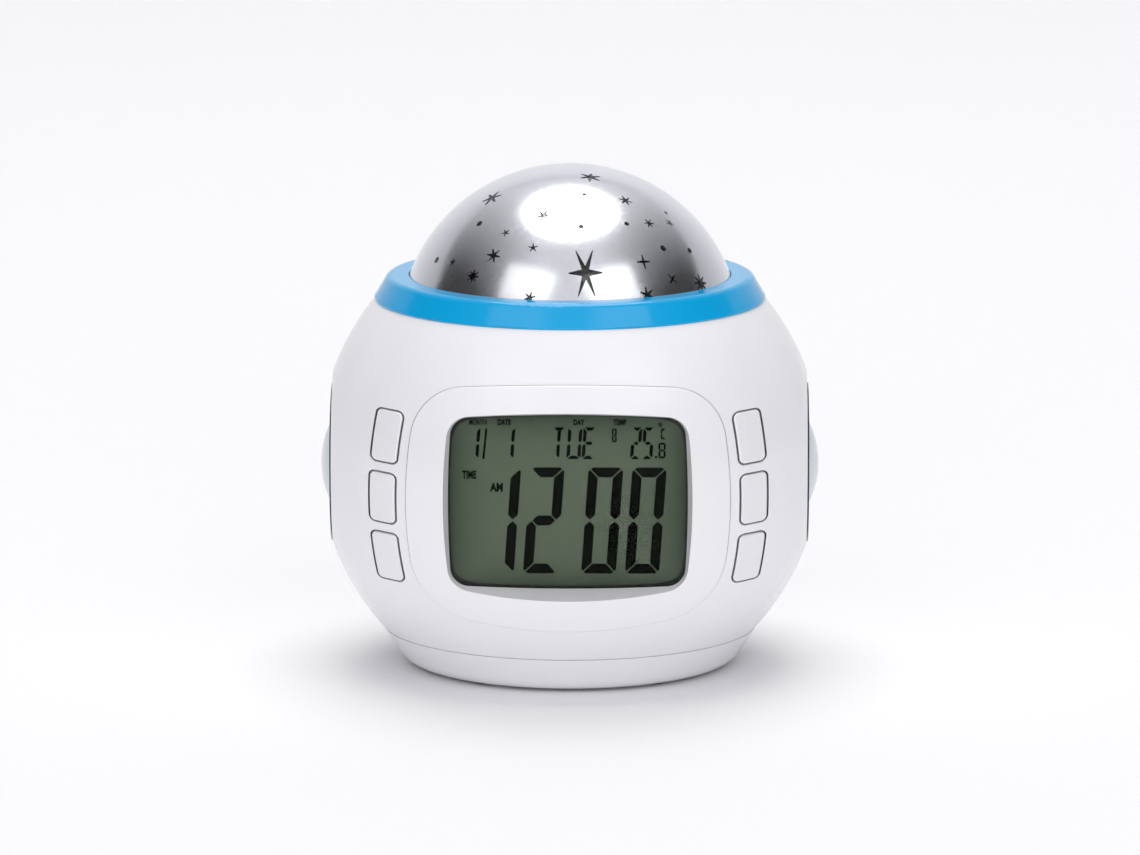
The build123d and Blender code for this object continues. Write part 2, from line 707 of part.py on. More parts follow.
with BuildPart() as lcd_flex:
    with BuildSketch(Plane.YZ):
        with BuildLine():
            Polyline(
                (-LCD_BACK + FLEX_T / 2, FLEX_Z + FLEX_TAB),
                (-LCD_BACK + FLEX_T / 2, FLEX_Z),
                (-BOARD_DEPTH - FLEX_T / 2, FLEX_Z),
                (-BOARD_DEPTH - FLEX_T / 2, FLEX_Z + FLEX_TAB),
            )
        trace(line_width=FLEX_T)
    extrude(amount=FLEX_W / 2, both=True)
keep(lcd_flex, "lcd_flex")

# Main board with its chips, lead sockets and key switches
with BuildPart() as main_board:
    with BuildSketch(front_plane(BOARD_BACK, CENTRE_Z)):
        Circle(BOARD_EDGE_R)
        with Locations((0, -BOARD_DOWN)):
            Rectangle(
                2 * BOARD_HALF_W,
                BOARD_UP + BOARD_DOWN,
                align=(Align.CENTER, Align.MIN),
                mode=Mode.INTERSECT,
            )
    extrude(amount=BOARD_T)
    with Locations(*[front_plane(BOARD_BACK, z, x) for x, z in BOARD_POSTS]):
        Cylinder(SMALL_SCREW_R + SCREW_CLEAR, BOARD_T, align=UPRIGHT, mode=Mode.SUBTRACT)
keep(main_board, "main_board")

with BuildPart() as board_screws:
    for x, z in BOARD_POSTS:
        seat = front_plane(BOARD_BACK, z, x)
        add(screw(seat, SMALL_SCREW_R, BOARD_T + BOARD_SCREW_GRIP, SMALL_HEAD_R, SMALL_HEAD_T))
keep(board_screws, "board_screws")

board_rear = Plane(origin=(0, -BOARD_BACK, CENTRE_Z), x_dir=(-1, 0, 0), z_dir=(0, 1, 0))
with BuildPart(board_rear) as board_chips:
    Box(CHIP_SIZE, CHIP_SIZE, CHIP_T, align=UPRIGHT)
    with Locations((CHIP_SIZE, 0)):
        Box(CHIP_SIZE / 2, CHIP_SIZE / 3, CHIP_T, align=UPRIGHT)
    with Locations((-CHIP_SIZE, CHIP_SIZE / 2)):
        Cylinder(CHIP_T, 2 * CHIP_T, align=UPRIGHT)
keep(board_chips, "board_chips")

SOCKET_TOP_Y = -BOARD_BACK + SOCKET_L
SOCKETS = {
    "speaker": (-SOCKET_ASIDE, CENTRE_Z + SOCKET_UP),
    "lamp": (SOCKET_ASIDE, CENTRE_Z + SOCKET_UP),
    "battery": (0, CENTRE_Z - SOCKET_DOWN),
    "left": (-SOCKET_SIDE_X, SIDE_Z),
    "right": (SOCKET_SIDE_X, SIDE_Z),
}
with BuildPart() as lead_sockets:
    with Locations(*[rear_plane(-BOARD_BACK, z, x) for x, z in SOCKETS.values()]):
        Box(SOCKET_W, SOCKET_H, SOCKET_L, align=UPRIGHT)
keep(lead_sockets, "lead_sockets")

KEY_PLACES = [key_centre(sign, row) for sign, row in KEY_SPOTS]
with BuildPart() as key_switches:
    with Locations(*[front_plane(BOARD_DEPTH, z, x) for x, z in KEY_PLACES]):
        Box(SWITCH_SIZE, SWITCH_SIZE, SWITCH_H, align=UPRIGHT)
        Cylinder(PLUNGER_R + PLUNGER_FIT, SWITCH_H, align=UPRIGHT, mode=Mode.SUBTRACT)
keep(key_switches, "key_switches")

# Keys: a curved cap through the shell, a flange that keeps it in and a stem to the switch plunger
for side, sign in SIDES.items():
    for row_name, row in KEY_ROWS.items():
        cap_r = BODY_R + KEY_PROUD
        cap = curved_panel(key_outline(sign, row), cap_r, cap_r - KEY_CAP_T, KEY_ROUND)
        flange_r = INNER_R - KEY_FLANGE_GAP
        flange = curved_panel(key_outline(sign, row, KEY_FLANGE), flange_r, flange_r - KEY_FLANGE_T)
        stem_x, stem_z = key_centre(sign, row)
        stem = wall_post(front_plane(KEY_TIP_DEPTH, stem_z, stem_x), KEY_STEM_R, flange_r)
        with BuildPart() as key:
            add(cap)
            add(flange)
            add(stem)
        keep(key, f"{side}_{row_name}_key")

        plunger_foot = BOARD_DEPTH + KEY_TRAVEL + PLUNGER_ROOM
        with BuildPart(front_plane(plunger_foot, stem_z, stem_x)) as key_plunger:
            Cylinder(PLUNGER_R, KEY_TIP_DEPTH - plunger_foot, align=UPRIGHT)
        keep(key_plunger, f"{side}_{row_name}_plunger")

# Side buttons: a dished ring through the flat, a domed cap in it and a switch on a small board behind
SIDE_AXIS = Axis((0, 0, SIDE_Z), (1, 0, 0))
SIDE_RIM_X = FLAT_X + SIDE_RING_PROUD
SIDE_LIP_X = SIDE_RIM_X - SIDE_DISH_DEPTH
SIDE_SEAT_X = SIDE_LIP_X - SIDE_LIP_T
SIDE_BOARD_X = FLAT_X - SIDE_TUBE_L
SIDE_BEAD_X = FLAT_X - WALL - SIDE_TUBE_FIT
SIDE_TIP_X = SIDE_BOARD_X + SWITCH_H + PLUNGER_PROUD
SIDE_BUTTON_R = SIDE_BORE_R - SIDE_BUTTON_GAP
SIDE_FLANGE_X = SIDE_SEAT_X - SIDE_FLANGE_GAP
SIDE_DOME_X = SIDE_RIM_X + SIDE_DOME_PROUD - SIDE_DOME_R
SIDE_INNER_R = SIDE_DOME_R - SIDE_BUTTON_T
CAP_INNER_R = SIDE_BUTTON_R - SIDE_BUTTON_T

for side, sign in SIDES.items():
    with BuildPart() as side_ring:
        with BuildSketch(Plane.XY.offset(SIDE_Z)) as ring_profile:
            with BuildLine():
                Polyline(
                    (sign * FLAT_X, SIDE_RING_R),
                    (sign * SIDE_RIM_X, SIDE_RING_R),
                    (sign * SIDE_RIM_X, SIDE_RING_R - SIDE_RIM_W),
                    (sign * SIDE_LIP_X, SIDE_BORE_R),
                    (sign * SIDE_SEAT_X, SIDE_BORE_R),
                    (sign * SIDE_SEAT_X, SIDE_TUBE_R - SIDE_TUBE_WALL),
                    (sign * SIDE_BOARD_X, SIDE_TUBE_R - SIDE_TUBE_WALL),
                    (sign * SIDE_BOARD_X, SIDE_TUBE_R),
                    (sign * (SIDE_BEAD_X - SIDE_BEAD_L), SIDE_TUBE_R),
                    (sign * SIDE_BEAD_X, SIDE_TUBE_R + SIDE_BEAD),
                    (sign * SIDE_BEAD_X, SIDE_TUBE_R),
                    (sign * FLAT_X, SIDE_TUBE_R),
                    close=True,
                )
            make_face()
            rim_corners = ring_profile.vertices().group_by(Axis.X)[-1 if sign > 0 else 0]
            fillet(rim_corners, SIDE_EDGE_R)
        revolve(axis=SIDE_AXIS)
    keep(side_ring, f"{side}_side_ring")

    with BuildPart() as side_button:
        with BuildSketch(Plane.XY.offset(SIDE_Z)):
            with BuildLine():
                stem_top = (sign * (SIDE_DOME_X + circle_at(SIDE_INNER_R, KEY_STEM_R)), KEY_STEM_R)
                inner_x = SIDE_DOME_X + circle_at(SIDE_INNER_R, CAP_INNER_R)
                outer_x = SIDE_DOME_X + circle_at(SIDE_DOME_R, SIDE_BUTTON_R)
                inner_edge = (sign * inner_x, CAP_INNER_R)
                outer_edge = (sign * outer_x, SIDE_BUTTON_R)
                apex = (sign * (SIDE_DOME_X + SIDE_DOME_R), 0)
                Polyline((sign * SIDE_TIP_X, 0), (sign * SIDE_TIP_X, KEY_STEM_R), stem_top)
                RadiusArc(stem_top, inner_edge, -sign * SIDE_INNER_R)
                Polyline(
                    inner_edge,
                    (sign * (SIDE_FLANGE_X - SIDE_FLANGE_T), CAP_INNER_R),
                    (sign * (SIDE_FLANGE_X - SIDE_FLANGE_T), SIDE_BUTTON_R + SIDE_FLANGE),
                    (sign * SIDE_FLANGE_X, SIDE_BUTTON_R + SIDE_FLANGE),
                    (sign * SIDE_FLANGE_X, SIDE_BUTTON_R),
                    outer_edge,
                )
                RadiusArc(outer_edge, apex, sign * SIDE_DOME_R)
                Line(apex, (sign * SIDE_TIP_X, 0))
            make_face()
        revolve(axis=SIDE_AXIS)
    keep(side_button, f"{side}_side_button")

    outward = Plane(origin=(sign * SIDE_BOARD_X, 0, SIDE_Z), x_dir=(0, 1, 0), z_dir=(sign, 0, 0))
    with BuildPart(outward) as side_board:
        hanging = (Align.CENTER, Align.CENTER, Align.MAX)
        Cylinder(SIDE_TUBE_R - SIDE_TUBE_FIT, SIDE_BOARD_T, align=hanging)
    keep(side_board, f"{side}_side_board")

    with BuildPart(outward) as side_switch:
        Box(SWITCH_SIZE, SWITCH_SIZE, SWITCH_H, align=UPRIGHT)
        Cylinder(PLUNGER_R + PLUNGER_FIT, SWITCH_H, align=UPRIGHT, mode=Mode.SUBTRACT)
    keep(side_switch, f"{side}_side_switch")

    plunger_lift = SIDE_TRAVEL + PLUNGER_ROOM
    with BuildPart(outward.offset(plunger_lift)) as side_plunger:
        Cylinder(PLUNGER_R, SWITCH_H + PLUNGER_PROUD - plunger_lift, align=UPRIGHT)
    keep(side_plunger, f"{side}_side_plunger")

# Top ring: sits on the shells' rim, its skirt and bead snap in and its bosses hold the lamp deck
RIM_INNER_R = circle_at(INNER_R, RING_RISE)
RING_BASE_R = circle_at(BODY_R, RING_RISE) + RING_OVERHANG
RING_TOP_Z = RING_Z + RING_H
RING_UNDER_Z = RING_TOP_Z - RING_TOP_T
DOME_Z = RING_Z - DOME_SINK
SKIRT_R = RIM_INNER_R - RING_FIT
SKIRT_INNER_R = SKIRT_R - SKIRT_T
SKIRT_Z = RING_Z - SKIRT_DROP
LIP_LOW_R = circle_at(DOME_R, RING_UNDER_Z - DOME_Z) + LIP_GAP
LIP_TOP_R = circle_at(DOME_R, RING_TOP_Z - DOME_Z) + LIP_GAP
DECK_R = SKIRT_INNER_R - DECK_FIT
DECK_BOSS_CIRCLE = SKIRT_INNER_R - DECK_BOSS_INSET
DECK_TOP_Z = RING_UNDER_Z - DOME_FLANGE_T - DECK_RIM_H
DECK_LOW_Z = DECK_TOP_Z - DECK_T
deck_screw_places = PolarLocations(DECK_BOSS_CIRCLE, DECK_SCREW_COUNT, start_angle=DECK_SCREW_TURN)

with BuildPart() as top_ring:
    with BuildSketch(Plane.XZ) as ring_section:
        with BuildLine():
            Polyline(
                (RING_BASE_R, RING_Z),
                (RING_BASE_R - RING_LEAN, RING_TOP_Z),
                (LIP_TOP_R, RING_TOP_Z),
                (LIP_LOW_R, RING_UNDER_Z),
                (SKIRT_INNER_R, RING_UNDER_Z),
                (SKIRT_INNER_R, SKIRT_Z),
                (SKIRT_R, SKIRT_Z),
                (SKIRT_R + SKIRT_BEAD, SKIRT_Z + SKIRT_BEAD_H / 2),
                (SKIRT_R, SKIRT_Z + SKIRT_BEAD_H),
                (SKIRT_R, RING_Z),
                close=True,
            )
        make_face()
        top_corners = ring_section.vertices().group_by(Axis.Y)[-1].sort_by(Axis.X)
        fillet(top_corners[-1], RING_TOP_ROUND)
        fillet(ring_section.vertices().sort_by(Axis.X)[-1], RING_FOOT_ROUND)
    revolve(axis=Axis.Z)
    with BuildSketch(Plane.XY.offset(DECK_TOP_Z)):
        with deck_screw_places:
            Circle(DECK_BOSS_R)
    extrude(amount=RING_UNDER_Z - DECK_TOP_Z)
    with BuildSketch(Plane.XY.offset(DECK_TOP_Z)):
        with deck_screw_places:
            Circle(SMALL_SCREW_R + SCREW_FIT)
    extrude(amount=DECK_SCREW_GRIP, mode=Mode.SUBTRACT)
keep(top_ring, "top_ring")

# Clear dome with a notched flange under the ring, and the silver skin over it
CLEAR_R = DOME_R - MASK_T - MASK_FIT
CLEAR_INNER_R = CLEAR_R - DOME_T
FLANGE_RISE = RING_UNDER_Z - DOME_Z
FOOT_RISE = FLANGE_RISE - DOME_FLANGE_T
with BuildPart() as dome_lens:
    with BuildSketch(Plane.XZ):
        with BuildLine():
            flange_edge = (circle_at(CLEAR_R, FLANGE_RISE), RING_UNDER_Z)
            foot_edge = (circle_at(CLEAR_INNER_R, FOOT_RISE), DOME_Z + FOOT_RISE)
            RadiusArc((0, DOME_Z + CLEAR_R), flange_edge, CLEAR_R)
            Polyline(flange_edge, (DECK_R, RING_UNDER_Z), (DECK_R, DOME_Z + FOOT_RISE), foot_edge)
            RadiusArc(foot_edge, (0, DOME_Z + CLEAR_INNER_R), -CLEAR_INNER_R)
            Line((0, DOME_Z + CLEAR_INNER_R), (0, DOME_Z + CLEAR_R))
        make_face()
    revolve(axis=Axis.Z)
    with BuildSketch(Plane.XY.offset(DOME_Z + FOOT_RISE)):
        with deck_screw_places:
            Circle(DECK_BOSS_R + DECK_BOSS_FIT)
    extrude(amount=DOME_FLANGE_T, mode=Mode.SUBTRACT)
keep(dome_lens, "dome_lens")


def dome_plane(polar, azimuth, turn):
    """A plane on the dome at a polar angle from the top, its axes turned about the dome's normal."""
    across = math.sin(math.radians(polar))
    normal = Vector(
        across * math.cos(math.radians(azimuth)),
        across * math.sin(math.radians(azimuth)),
        math.cos(math.radians(polar)),
    )
    level = Vector(-math.sin(math.radians(azimuth)), math.cos(math.radians(azimuth)), 0)
    flat = Plane(origin=Vector(0, 0, DOME_Z) + normal * DOME_R, x_dir=level, z_dir=normal)
    return Plane(flat.location * Rotation(0, 0, turn))


def sight_plane(across, up, turn=0.0):
    """A plane on the dome at a place in the front view, whose line of sight falls by SIGHT_TILT."""
    tilt = math.radians(SIGHT_TILT)
    towards = math.sqrt(DOME_R**2 - across**2 - up**2)
    rise = up * math.cos(tilt) + towards * math.sin(tilt)
    ahead = towards * math.cos(tilt) - up * math.sin(tilt)
    polar = math.degrees(math.acos(rise / DOME_R))
    return dome_plane(polar, math.degrees(math.atan2(-ahead, across)), turn)


def star_points(rays, reach, ray_w, tip_w, narrow=1.0):
    """The corners of a star of tapering rays, the first one level, narrowed sideways.

    A ray's width at its root and at its blunt tip are shares of its reach.
    """
    valley = reach * ray_w / 2 / math.sin(math.pi / rays)
    blunt = math.asin(tip_w / 2)
    corners = []
    for ray in range(rays):
        turn = 2 * math.pi * ray / rays
        spokes = ((reach, turn - blunt), (reach, turn + blunt), (valley, turn + math.pi / rays))
        corners += [(narrow * far * math.cos(angle), far * math.sin(angle)) for far, angle in spokes]
    return corners


def star_rows():
    """Scattered places on the dome, row by row from the top, each with its running number."""
    number = 0
    for row in range(STAR_ROWS):
        polar = STAR_FIRST_ROW + row * STAR_ROW_STEP
        count = round(2 * math.pi * DOME_R * math.sin(math.radians(polar)) / STAR_PITCH)
        for step in range(count):
            number += 1
            drift = (number * GOLDEN) % 1 - 1 / 2
            lift = (number * number * GOLDEN) % 1 - 1 / 2
            azimuth = (step + row / 2 + STAR_SCATTER * drift) * 360 / count
            yield number, polar + STAR_SCATTER * lift * STAR_ROW_STEP, azimuth


star_cuts = []
for number, (across, up, rays, reach) in enumerate(FRONT_STARS):
    star_cuts.append((sight_plane(across, up, number * 360 * GOLDEN), rays, reach))
for number, polar, azimuth in star_rows():
    spot = dome_plane(polar, azimuth, number * 360 * GOLDEN)
    rays = BACK_STAR_KINDS[number % len(BACK_STAR_KINDS)]
    if spot.origin.Y > BACK_STARS_Y:
        star_cuts.append((spot, rays, STAR_SIZE + rays * STAR_RAY_STEP))

with BuildPart() as star_mask:
    with BuildSketch(Plane.XZ):
        with BuildLine():
            skin_edge = (circle_at(DOME_R, FLANGE_RISE + MASK_FIT), RING_UNDER_Z + MASK_FIT)
            skin_inner_r = CLEAR_R + MASK_FIT
            skin_inner_edge = (circle_at(skin_inner_r, FLANGE_RISE + MASK_FIT), RING_UNDER_Z + MASK_FIT)
            RadiusArc((0, DOME_Z + DOME_R), skin_edge, DOME_R)
            Line(skin_edge, skin_inner_edge)
            RadiusArc(skin_inner_edge, (0, DOME_Z + skin_inner_r), -skin_inner_r)
            Line((0, DOME_Z + skin_inner_r), (0, DOME_Z + DOME_R))
        make_face()
    revolve(axis=Axis.Z)
    for spot, rays, reach in star_cuts:
        with BuildSketch(spot):
            if rays == 0:
                Circle(reach)
            else:
                Polygon(*star_points(rays, reach, STAR_RAY_W, STAR_TIP_W), align=None)
        extrude(amount=STAR_CUT, both=True, mode=Mode.SUBTRACT)
    with BuildSketch(sight_plane(BIG_STAR_ACROSS, BIG_STAR_UP)):
        big_star = (BIG_STAR_RAYS, BIG_STAR_SIZE, BIG_STAR_RAY_W, BIG_STAR_TIP_W, BIG_STAR_NARROW)
        Polygon(*star_points(*big_star), align=None)
    extrude(amount=STAR_CUT, both=True, mode=Mode.SUBTRACT)
keep(star_mask, "star_mask")

# Star lamp: a deck screwed under the ring, a pillar, a small board and its LEDs
with BuildPart() as lamp_deck:
    with BuildSketch(Plane.XY.offset(DECK_LOW_Z)):
        Circle(DECK_R)
        Circle(PILLAR_BORE_R, mode=Mode.SUBTRACT)
    extrude(amount=DECK_T)
    with BuildSketch(Plane.XY.offset(DECK_TOP_Z)):
        Circle(DECK_R)
        Circle(DECK_R - DECK_RIM_W, mode=Mode.SUBTRACT)
        with deck_screw_places:
            Circle(DECK_BOSS_R + DECK_BOSS_FIT, mode=Mode.SUBTRACT)
    extrude(amount=DECK_RIM_H)
    with BuildSketch(Plane.XY.offset(DECK_TOP_Z)):
        Circle(PILLAR_R)
        Circle(PILLAR_BORE_R, mode=Mode.SUBTRACT)
    extrude(amount=PILLAR_H)
    with BuildSketch(Plane.XY.offset(DECK_LOW_Z)):
        with deck_screw_places:
            Circle(SMALL_SCREW_R + SCREW_CLEAR)
    extrude(amount=DECK_T, mode=Mode.SUBTRACT)
keep(lamp_deck, "lamp_deck")

with BuildPart() as deck_screws:
    for place in deck_screw_places:
        seat = Plane(origin=place.position + Vector(0, 0, DECK_LOW_Z))
        add(screw(seat, SMALL_SCREW_R, DECK_T + DECK_SCREW_GRIP - SCREW_FIT, SMALL_HEAD_R, SMALL_HEAD_T))
keep(deck_screws, "deck_screws")

LAMP_BOARD_Z = DECK_TOP_Z + PILLAR_H
LAMP_Z = LAMP_BOARD_Z + LAMP_BOARD_T
with BuildPart(Plane.XY.offset(LAMP_BOARD_Z)) as lamp_board:
    Cylinder(LAMP_BOARD_R, LAMP_BOARD_T, align=UPRIGHT)
keep(lamp_board, "lamp_board")

with BuildPart(Plane.XY.offset(LAMP_Z)) as lamps:
    with PolarLocations(LAMP_CIRCLE_R, LAMP_COUNT):
        Cylinder(LAMP_R + LAMP_RIM, LAMP_RIM_T, align=UPRIGHT)
        Cylinder(LAMP_R, LAMP_H, align=UPRIGHT)
        with Locations((0, 0, LAMP_H)):
            Sphere(LAMP_R)
keep(lamps, "lamps")

# Base: a cup under the seam with the battery box, screw pillars and pad recesses
BASE_SEAM_R = circle_at(BODY_R, SEAM_DROP)
BASE_LOW_R = BASE_SEAM_R - BASE_DRAFT_R
FLOOR_Z = FOOT_PROUD + BASE_FLOOR_T
BOX_HALF_X = CELL_L / 2 + CELL_NUB_L / 2 + CONTACT_ROOM
BOX_HALF_Y = CELL_PITCH * (CELL_COUNT - 1) / 2 + CELL_R + CELL_SIDE_GAP
CELL_Z = FLOOR_Z + CELL_R
BOX_TOP_Z = CELL_Z + CELL_R + CELL_ROOF_GAP
HINGE_Y = BOX_HALF_Y + DOOR_LEDGE
DOOR_LOW_Z = FOOT_PROUD + DOOR_SINK
HINGE_Z = DOOR_LOW_Z + DOOR_T / 2
DOOR_HALF_X = BOX_HALF_X + DOOR_LEDGE - DOOR_GAP
DOOR_FRONT_Y = -BOX_HALF_Y - DOOR_LEDGE + DOOR_GAP
base_screw_places = GridLocations(2 * BASE_SCREW_X, 2 * BASE_SCREW_Y, 2, 2)
pad_places = GridLocations(2 * PAD_X, 2 * PAD_Y, 2, 2)

with BuildPart() as base_cover:
    with BuildSketch(Plane.XZ) as base_section:
        with BuildLine():
            Polyline(
                (0, FOOT_PROUD),
                (BASE_LOW_R, FOOT_PROUD),
                (BASE_SEAM_R, SEAM_Z - SEAM_GAP),
                (BASE_SEAM_R - SEAM_DEPTH, SEAM_Z - SEAM_GAP),
                (BASE_SEAM_R - SEAM_DEPTH, SEAM_Z),
                (BASE_SEAM_R - WALL, SEAM_Z),
                (BASE_LOW_R - WALL, FLOOR_Z),
                (0, FLOOR_Z),
                close=True,
            )
        make_face()
        foot_corner = base_section.vertices().group_by(Axis.Y)[0].sort_by(Axis.X)[-1]
        fillet(foot_corner, BASE_FOOT_ROUND)
    revolve(axis=Axis.Z)
    with BuildSketch(Plane.XY.offset(FLOOR_Z)):
        Rectangle(2 * (BOX_HALF_X + BOX_WALL), 2 * (BOX_HALF_Y + BOX_WALL))
    extrude(amount=BOX_TOP_Z + BOX_WALL - FLOOR_Z)
    with BuildSketch(Plane.XY.offset(FOOT_PROUD)):
        Rectangle(2 * BOX_HALF_X, 2 * BOX_HALF_Y)
    extrude(amount=BOX_TOP_Z - FOOT_PROUD, mode=Mode.SUBTRACT)
    with BuildSketch(Plane.XY.offset(FOOT_PROUD)):
        with Locations((0, DOOR_FRONT_Y - DOOR_GAP)):
            Rectangle(
                2 * (DOOR_HALF_X + DOOR_GAP),
                HINGE_Y + DOOR_T / 2 + HINGE_GAP - DOOR_FRONT_Y + DOOR_GAP,
                align=(Align.CENTER, Align.MIN),
            )
    extrude(amount=BASE_FLOOR_T, mode=Mode.SUBTRACT)
    with BuildSketch(Plane.YZ):
        with Locations((HINGE_Y, HINGE_Z)):
            Circle(HINGE_PIN_R + HINGE_FIT)
    extrude(amount=DOOR_HALF_X + HINGE_PIN_L + HINGE_GAP, both=True, mode=Mode.SUBTRACT)
    with BuildSketch(Plane.XY.offset(FOOT_PROUD)):
        with Locations((0, DOOR_FRONT_Y - DOOR_GAP)):
            SlotOverall(NAIL_SLOT_W, 2 * NAIL_SLOT_L)
    extrude(amount=NAIL_SLOT_DEPTH, mode=Mode.SUBTRACT)
    with BuildSketch(Plane.XY.offset(FLOOR_Z)):
        with base_screw_places:
            Circle(BASE_BOSS_R)
    extrude(amount=SEAM_Z - FLOOR_Z)
    with BuildSketch(Plane.XY.offset(FOOT_PROUD)):
        with base_screw_places:
            Circle(SCREW_R + SCREW_CLEAR)
    extrude(amount=BASE_H, mode=Mode.SUBTRACT)
    with BuildSketch(Plane.XY.offset(FOOT_PROUD)):
        with base_screw_places:
            Circle(SCREW_HEAD_R + SCREW_CLEAR)
    extrude(amount=SCREW_HEAD_T + SCREW_CLEAR, mode=Mode.SUBTRACT)
    with BuildSketch(Plane.XY.offset(FOOT_PROUD)):
        with pad_places:
            Circle(PAD_R + PAD_FIT)
    extrude(amount=PAD_SINK, mode=Mode.SUBTRACT)
keep(base_cover, "base_cover")

with BuildPart() as base_screws:
    for place in GridLocations(2 * BASE_SCREW_X, 2 * BASE_SCREW_Y, 2, 2):
        seat = Plane(origin=place.position + Vector(0, 0, FOOT_PROUD + SCREW_HEAD_T + SCREW_CLEAR))
        add(screw(seat, SCREW_R, SEAM_Z - seat.origin.Z + BASE_SCREW_GRIP, SCREW_HEAD_R, SCREW_HEAD_T))
keep(base_screws, "base_screws")

with BuildPart() as feet:
    with BuildSketch(Plane.XY):
        with pad_places:
            Circle(PAD_R)
    extrude(amount=FOOT_PROUD + PAD_SINK)
    fillet(feet.edges().group_by(Axis.Z)[0], PAD_ROUND)
keep(feet, "feet")

# Battery door: a plate that turns down on two pins at its rear edge
with BuildPart() as battery_door:
    with BuildSketch(Plane.YZ):
        with Locations((HINGE_Y, HINGE_Z)):
            Circle(DOOR_T / 2)
        with Locations((DOOR_FRONT_Y, DOOR_LOW_Z)):
            Rectangle(HINGE_Y - DOOR_FRONT_Y, DOOR_T, align=(Align.MIN, Align.MIN))
    extrude(amount=DOOR_HALF_X, both=True)
    with BuildSketch(Plane.YZ):
        with Locations((HINGE_Y, HINGE_Z)):
            Circle(HINGE_PIN_R)
    extrude(amount=DOOR_HALF_X + HINGE_PIN_L, both=True)
keep(battery_door, "battery_door")

# Cells lie side by side, turned end for end, between leaf contacts
with BuildPart() as batteries:
    for cell in range(CELL_COUNT):
        facing = 1 if cell % 2 == 0 else -1
        cell_y = (cell - (CELL_COUNT - 1) / 2) * CELL_PITCH
        foot_x = -facing * (CELL_L + CELL_NUB_L) / 2
        with Locations(Plane(origin=(foot_x, cell_y, CELL_Z), x_dir=(0, 1, 0), z_dir=(facing, 0, 0))):
            Cylinder(CELL_R, CELL_L, align=UPRIGHT)
            Cylinder(CELL_NUB_R, CELL_L + CELL_NUB_L, align=UPRIGHT)
keep(batteries, "batteries")

CONTACT_WALL_X = BOX_HALF_X - CONTACT_T / 2
CONTACT_TIP_X = (CELL_L + CELL_NUB_L) / 2 + CONTACT_GAP + CONTACT_T / 2
with BuildPart() as battery_contacts:
    for cell in range(CELL_COUNT):
        cell_y = (cell - (CELL_COUNT - 1) / 2) * CELL_PITCH
        for sign in SIDES.values():
            with BuildSketch(Plane(origin=(0, cell_y, CELL_Z))):
                with BuildLine():
                    Polyline(
                        (sign * CONTACT_WALL_X, -CONTACT_FOOT),
                        (sign * CONTACT_WALL_X, -CONTACT_BEND),
                        (sign * CONTACT_TIP_X, -CONTACT_TIP),
                        (sign * CONTACT_TIP_X, CONTACT_TIP),
                        (sign * CONTACT_WALL_X, CONTACT_BEND),
                        (sign * CONTACT_WALL_X, CONTACT_FOOT),
                    )
                trace(line_width=CONTACT_T)
            extrude(amount=CONTACT_W / 2, both=True)
keep(battery_contacts, "battery_contacts")

# Speaker: a steel basket, a paper cone and a magnet, held by three screws with wide heads
SPEAKER_AXIS = Axis((0, 0, SPEAKER_Z), (0, 1, 0))
BASKET_BACK_Y = SPEAKER_FRONT_Y - SPEAKER_BASKET_L
TERMINAL_X = SPEAKER_MAGNET_R + TERMINAL_W / 2
with BuildPart() as speaker_frame:
    with BuildSketch(Plane.XY.offset(SPEAKER_Z)):
        with BuildLine():
            Polyline(
                (SPEAKER_R, SPEAKER_SEAT_Y),
                (SPEAKER_R, SPEAKER_FRONT_Y),
                (SPEAKER_BASKET_R, SPEAKER_FRONT_Y),
                (SPEAKER_MAGNET_R, BASKET_BACK_Y),
                (0, BASKET_BACK_Y),
                (0, BASKET_BACK_Y + SPEAKER_BASKET_T),
                (SPEAKER_MAGNET_R - SPEAKER_BASKET_T, BASKET_BACK_Y + SPEAKER_BASKET_T),
                (SPEAKER_BASKET_R - SPEAKER_BASKET_T, SPEAKER_SEAT_Y),
                close=True,
            )
        make_face()
    revolve(axis=SPEAKER_AXIS)
    with Locations((-TERMINAL_X, BASKET_BACK_Y + SPEAKER_BASKET_T, SPEAKER_Z)):
        Box(TERMINAL_W, SPEAKER_BASKET_T, TERMINAL_H, align=(Align.CENTER, Align.MIN, Align.CENTER))
keep(speaker_frame, "speaker_frame")

with BuildPart() as speaker_cone:
    with BuildSketch(Plane.XY.offset(SPEAKER_Z)):
        with BuildLine():
            cone_edge_r = SPEAKER_BASKET_R - SPEAKER_BASKET_T - SPEAKER_CONE_GAP
            cone_top_y = SPEAKER_SEAT_Y - SPEAKER_CONE_GAP / 2
            Polyline(
                (0, cone_top_y - SPEAKER_CONE_L),
                (SPEAKER_CAP_R, cone_top_y - SPEAKER_CONE_L),
                (cone_edge_r, cone_top_y),
                (cone_edge_r, cone_top_y - SPEAKER_CONE_T),
                (SPEAKER_CAP_R, cone_top_y - SPEAKER_CONE_L - SPEAKER_CONE_T),
                (0, cone_top_y - SPEAKER_CONE_L - SPEAKER_CONE_T),
                close=True,
            )
        make_face()
    revolve(axis=SPEAKER_AXIS)
keep(speaker_cone, "speaker_cone")

with BuildPart(rear_plane(BASKET_BACK_Y, SPEAKER_Z)) as speaker_magnet:
    Cylinder(SPEAKER_MAGNET_R, SPEAKER_MAGNET_L, align=(Align.CENTER, Align.CENTER, Align.MAX))
keep(speaker_magnet, "speaker_magnet")

with BuildPart() as speaker_screws:
    for x, z in SPEAKER_BOSSES:
        seat = rear_plane(SPEAKER_FRONT_Y, z, x)
        add(screw(seat, SMALL_SCREW_R, SPEAKER_SCREW_GRIP, SPEAKER_WASHER_R, SMALL_HEAD_T))
keep(speaker_screws, "speaker_screws")


